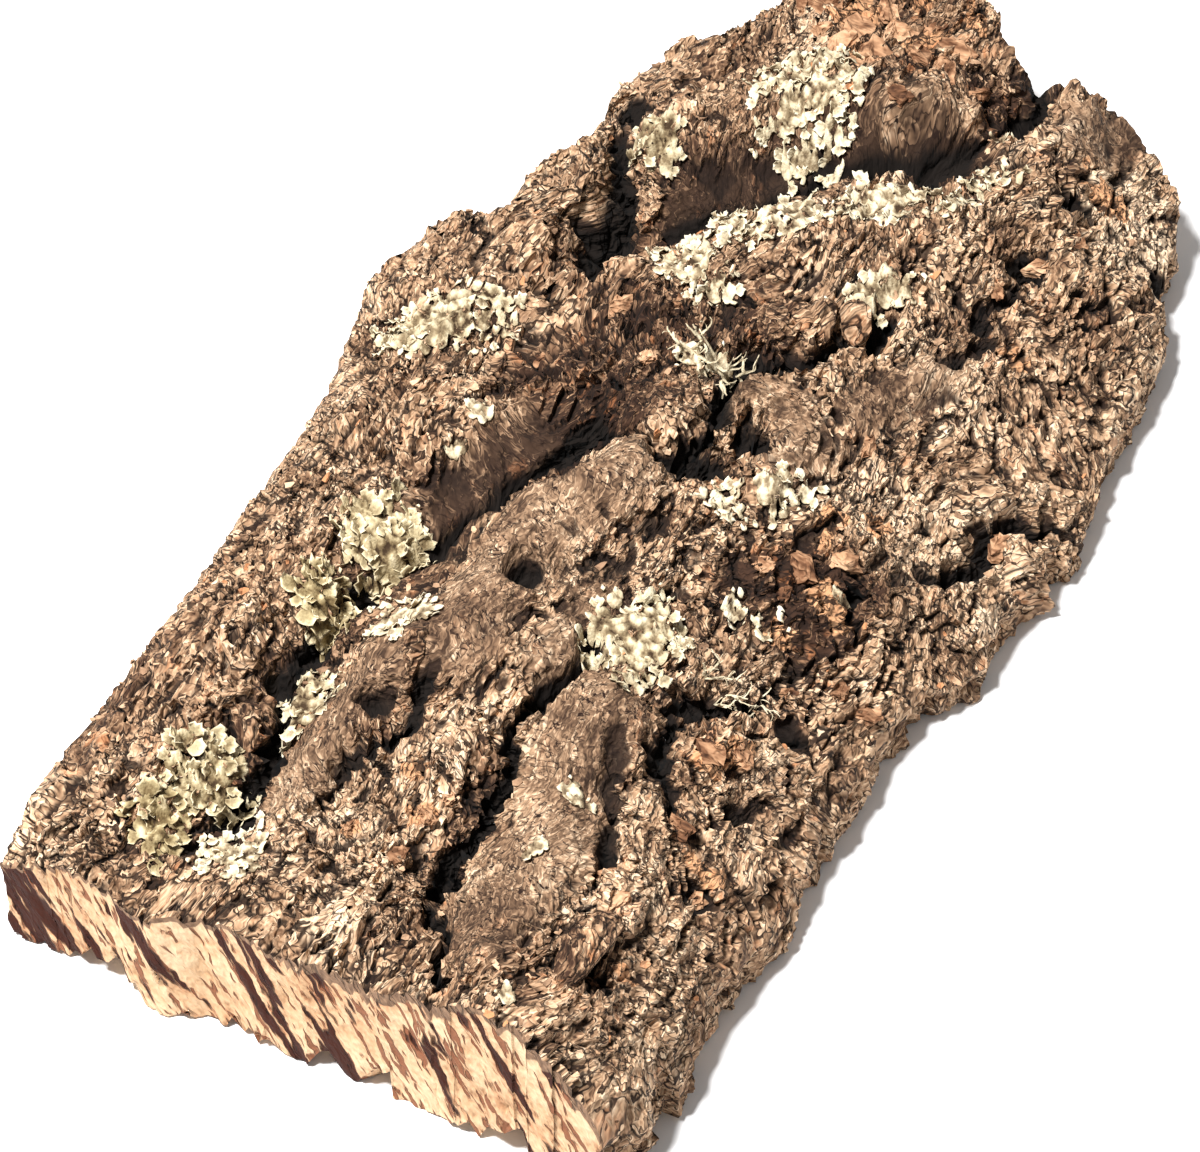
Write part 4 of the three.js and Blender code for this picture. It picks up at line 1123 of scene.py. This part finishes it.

# %% [markdown]
# Broken bits of cork lie on the slab or stand out of it where it tore: angular chips, a short plank,
# a stick, and tongues of bark that curl over the splits. A chip is the hull of random points in a box,
# which gives the flat broken faces that cork crumbs have.

# %% Cork chips
CHIPS = [
    (127, 19, 11, 7, 5, 20), (118, 10, 9, 6, 4, 70), (128, 9, 10, 6, 5, -30), (120, -1, 8, 5, 4, 40),
    (115, -8, 7, 5, 4, 0), (119, -13, 7, 4, 4, 60), (103, -2, 6, 4, 3, 15), (109, 10, 8, 5, 3, 80),
    (118, 20, 9, 6, 4, -50), (131, 31, 10, 7, 5, 30), (127, -5, 9, 5, 4, -20), (133, 5, 8, 6, 5, 55),
    (136, 15, 9, 6, 5, 10), (124, 27, 7, 5, 4, 75), (-21, -34, 6, 4, 3, 30), (-15, -40, 8, 6, 4, -20),
    (-9, -46, 7, 5, 4, 50), (-24, -40, 5, 4, 3, 0), (-85, -50, 5, 4, 3, 20), (53, 7, 14, 2.6, 2.4, 48),
    (-111, -9, 4, 3, 2, 0), (-121, -9, 4, 3, 2, 40), (-118, 4, 3, 2, 2, 10), (-110, -50, 6, 4, 3, -40),
    (-125, -54, 5, 3, 3, 20), (-104, -45, 5, 3, 2, 70), (-65, -46, 13, 4.5, 3, -72),
    (-61, -52, 6, 4, 3, 10), (-40, -51, 5, 4, 3, 30), (-33, -58, 5, 3, 3, 0), (-32, -64, 6, 4, 3, 60),
    (-91, -58, 5, 3, 3, 10), (85, -45, 6, 4, 3, 45), (71, -42, 5, 3, 2, 10), (94, -49, 5, 4, 3, 0),
    (17, -39, 5, 3, 3, 30), (20, -68, 6, 4, 3, -10), (-105, -11, 3, 2, 2, 0), (5, 32, 5, 3, 2, 30),
    (24, 22, 6, 4, 3, -20), (12, 10, 4, 3, 2, 50), (30, 12, 5, 3, 2, 0),
]
HULL_POINTS, CHIP_ROUGHNESS = 18, 0.36


def chip_hull(work, x, y, length, width, height, turn, rng):
    """Add one chip to the work mesh, half sunk in the bark."""
    _, place, normal = meet_bark(x, y)
    stand = normal.lerp(Vector((0, 0, 1)), 0.5).to_track_quat("Z", "Y").to_matrix()
    a = math.radians(turn)
    corners = []
    for _ in range(HULL_POINTS):
        p = rng.uniform(-1, 1, 3)
        p = p / np.abs(p).max() ** 0.8
        q = Vector((0.5 * length * p[0], 0.5 * width * p[1], 0.5 * height * p[2])) * MM
        q = Vector((q.x * math.cos(a) - q.y * math.sin(a), q.x * math.sin(a) + q.y * math.cos(a), q.z))
        corners.append(work.verts.new(place - 0.2 * height * MM * normal + stand @ q))
    tag = work.verts.layers.float["pick"]
    pick = rng.uniform()
    for corner in corners:
        corner[tag] = pick
    hull = bmesh.ops.convex_hull(work, input=corners)
    spare = [v for v in hull["geom_interior"] + hull["geom_unused"] if isinstance(v, bmesh.types.BMVert)]
    bmesh.ops.delete(work, geom=list(set(spare)), context="VERTS")


def chips_piece():
    rng = np.random.default_rng(31)
    mesh = bpy.data.meshes.new("cork_chips")
    work = bmesh.new()
    work.verts.layers.float.new("pick")
    for row in CHIPS:
        chip_hull(work, *row, rng)
    bmesh.ops.subdivide_edges(work, edges=work.edges, cuts=2, use_grid_fill=True)
    for vert in work.verts:
        vert.co += Vector(rng.normal(0, CHIP_ROUGHNESS * MM, 3))
    work.to_mesh(mesh)
    work.free()
    return linked("cork_chips", mesh)


def chip_finish():
    f = Finish("torn_cork")
    place = f.node("ShaderNodeTexCoord", None, None, 3)
    pick = f.note("pick")
    grain = f.noise(f.stretched(place, (1.0, 2.5, 0.6)), 420.0, 2.0, 0.65)
    torn = f.noise(place, 150.0, 3.0, 0.7)
    tan = [
        (0.2, tint(40, 20, 10)), (0.38, tint(112, 76, 52)), (0.56, tint(174, 133, 100)),
        (0.9, tint(226, 188, 152)),
    ]
    colour = f.node("ShaderNodeValToRGB", {"stops": tan}, {0: pick * 0.3 + grain * 0.9 + torn * 0.6 - 0.42})
    return f.done(colour, 0.9, grain * 0.7 + torn * 1.2, 0.0016)


chips = chips_piece()
chips.data.materials.append(chip_finish())
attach(chips, "root")
print("chips:", len(CHIPS), "with", len(chips.data.polygons), "faces")

# %% Tongues of bark
TONGUES = [
    ((38, -6), 205, 9, 6), ((42, -11), 210, 9, 5), ((44, -15), 200, 8, 5), ((47, -20), 215, 8, 6),
    ((-113, -51), 178, 20, 7), ((35, -2), 215, 7, 5), ((-76, 12), 190, 8, 4),
]
WIDE_TONGUE, WIDE_THICKNESS, NARROW_THICKNESS = 7, 1.0, 1.3


def tongue_shell(number, at, turn, length, width):
    """A thick plate that leaves the bark, arches and bends down again at its tip."""
    s, t = np.meshgrid(np.linspace(0, 1, 9), np.linspace(-1, 1, 7), indexing="ij")
    rng = np.random.default_rng(80 + number)
    half = 0.5 * width * (0.85 + 0.25 * np.sin(np.pi * s) - 0.55 * s**6)
    forward, sideways = length * s, half * t + 0.25 * rng.normal(size=s.shape) * s
    arch = 0.45 * width * np.sin(np.pi * np.clip(s * 0.9 + 0.12, 0, 1)) - 0.2 * width * t**2
    a = math.radians(turn)
    x = at[0] + forward * math.cos(a) - sideways * math.sin(a)
    y = at[1] + forward * math.sin(a) + sideways * math.cos(a)
    root = bark_height(np.array([float(at[0])]), np.array([float(at[1])]))[0]
    tip = bark_height(x[-1:, 3:4], y[-1:, 3:4])[0, 0]
    z = root + (max(tip, root - 0.5 * length) - root) * s**1.6 + arch + 0.2 * rng.normal(size=s.shape)
    top = np.stack([x + CENTRING[0], y + CENTRING[1], z], -1) * MM
    thickness = NARROW_THICKNESS if width < WIDE_TONGUE else WIDE_THICKNESS
    return closed_shell("tongue_%d" % number, top, top - np.array([0, 0, thickness * MM]))


def tongues_piece():
    work = bmesh.new()
    for number, row in enumerate(TONGUES):
        work.from_mesh(tongue_shell(number, *row))
    mesh = bpy.data.meshes.new("bark_tongues")
    work.to_mesh(mesh)
    work.free()
    return linked("bark_tongues", mesh)


tongues = tongues_piece()
tongues.data.materials.append(bark_data.materials[0])
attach(tongues, "root")
print("tongues:", len(TONGUES))

# %% [markdown]
# Loose flakes lie all over the weathered face, each a thin plate with one side lifted. They are far
# too many to place by hand, so a second tree scatters them over the bark where it is rough, and
# gives each its own size, tilt and tone.

# %% Flakes
FLAKE_SIDES = 7


def flake_mesh(name, seed):
    rng = np.random.default_rng(seed)
    sides = FLAKE_SIDES
    angle = np.arange(sides) / sides * 2 * np.pi + rng.uniform(-0.3, 0.3, sides)
    reach = rng.uniform(0.6, 1.1, sides)
    warp = 0.12 * rng.uniform(-1, 1, sides) + 0.16 * np.cos(angle) ** 2
    ring = np.column_stack([reach * np.cos(angle), 0.6 * reach * np.sin(angle), warp])
    top = np.concatenate([ring + np.array([0, 0, 0.14]), [[0.1, 0, 0.1]]])
    low = ring * np.array([0.92, 0.92, 1]) - np.array([0, 0, 0.1])
    faces = [(k, (k + 1) % sides, sides) for k in range(sides)]
    faces += [(k, k + sides + 1, (k + 1) % sides + sides + 1, (k + 1) % sides) for k in range(sides)]
    faces += [tuple(range(2 * sides, sides, -1))]
    mesh = bpy.data.meshes.new(name)
    mesh.from_pydata(np.concatenate([top, low]).tolist(), [], faces)
    return bpy.data.objects.new(name, mesh)


flakes = [flake_mesh("flake_%d" % k, 70 + k) for k in range(4)]


def flake_recipe():
    r = Recipe("bark_flakes", SCATTER_INPUTS)
    where = r.node("GeometryNodeInputNamedAttribute", {"data_type": "FLOAT"}, {"Name": "flaky"})
    plates = r.scattered(250000.0, where, None, [(-0.3, 0.3), (-0.3, 0.2), (-3.14, 3.14)], flakes)
    return r.finished(plates)


def flake_finish():
    f = Finish("loose_flakes")
    place = f.node("ShaderNodeTexCoord", None, None, 3)
    pick = f.note("pick")
    mottle = f.noise(place, 420.0, 3.0, 0.65)
    warm = [
        (0.0, tint(70, 48, 34)), (0.35, tint(150, 118, 92)), (0.65, tint(190, 156, 124)),
        (0.9, tint(220, 190, 158)),
    ]
    colour = f.node("ShaderNodeValToRGB", {"stops": warm}, {0: pick * 0.55 + mottle * 0.9 - 0.22})
    colour = f.mixed(f.ramp(pick, 0.94, 0.96), colour, tint(186, 130, 90))
    return f.done(colour, 0.92, mottle, 0.0006)


flaky = np.clip(1 - 1.25 * relief_notes["calm"], 0, 1) * (1 - smooth(0.1, 0.5, hollow_large))
flaky = flaky * smooth(0.0, 0.6, layered(grid_x / 14, grid_y / 14, 701, 3) + 0.15)
flaky = flaky * (1 - smooth(0.4, 1.0, stain))
write_attribute(bark_data, "flaky", spread(flaky, lambda row: 0.0, 0.0))
loose = linked("loose_flakes", bark_data.copy())
flake_values = {"Spacing": 3.0 * MM, "Smallest": 0.6 * MM, "Largest": 1.7 * MM, "Seed": 5}
flake_faces = flake_recipe().apply(loose, flake_values | {"Material": flake_finish()})
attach(loose, "root")
print("flakes:", flake_faces // (2 * FLAKE_SIDES + 1))

# %% [markdown]
# The stage: a pale floor, one light above the camera and a little to its left, a bright surround, and
# a camera with a long lens, looking down at the near end.

# %% Floor, light and camera
def floor_piece():
    mesh = bpy.data.meshes.new("floor")
    mesh.from_pydata([(-3, -3, 0), (3, -3, 0), (3, 3, 0), (-3, 3, 0)], [], [(0, 1, 2, 3)])
    floor = linked("floor", mesh)
    f = Finish("pale_floor")
    place = f.node("ShaderNodeTexCoord", None, None, 3)
    mottle = f.noise(place, 6.0, 2.0)
    colour = f.mixed(mottle, tint(238, 238, 238), tint(244, 244, 244))
    mesh.materials.append(f.done(colour, 0.9, mottle, 0.0002))
    return floor


floor = floor_piece()
AZIMUTH, ELEVATION, DISTANCE = math.radians(-61), math.radians(50), 0.930
TARGET = Vector((-0.0335, -0.0037, 0.028))
level = math.cos(ELEVATION)
back = Vector((math.sin(AZIMUTH) * level, -math.cos(AZIMUTH) * level, math.sin(ELEVATION)))
right = Vector((math.cos(AZIMUTH), math.sin(AZIMUTH), 0))
up = back.cross(right)
lens = bpy.data.cameras.new("camera")
lens.lens, lens.sensor_width, lens.clip_start = 138.1, 36, 0.01
camera = bpy.data.objects.new("camera", lens)
camera.location = TARGET + DISTANCE * back
camera.rotation_euler = back.to_track_quat("Z", "Y").to_euler()
bpy.context.collection.objects.link(camera)
bpy.context.scene.camera = camera


def soft_light(name, direction, distance, size, power):
    data = bpy.data.lights.new(name, "AREA")
    data.shape, data.size, data.energy = "DISK", size, power
    light = bpy.data.objects.new(name, data)
    direction = direction.normalized()
    light.location = TARGET + distance * direction
    light.rotation_euler = direction.to_track_quat("Z", "Y").to_euler()
    bpy.context.collection.objects.link(light)


soft_light("key", -0.3 * right + 0.45 * up + 0.85 * back, 1.5, 0.25, 55)
world = bpy.data.worlds.new("surround")
world.use_nodes = True
world.node_tree.nodes["Background"].inputs[0].default_value = (1, 1, 1, 1)
world.node_tree.nodes["Background"].inputs[1].default_value = 0.36
bpy.context.scene.world = world
bpy.context.scene.view_settings.view_transform = "Standard"
print("camera at", [round(c, 3) for c in camera.location])
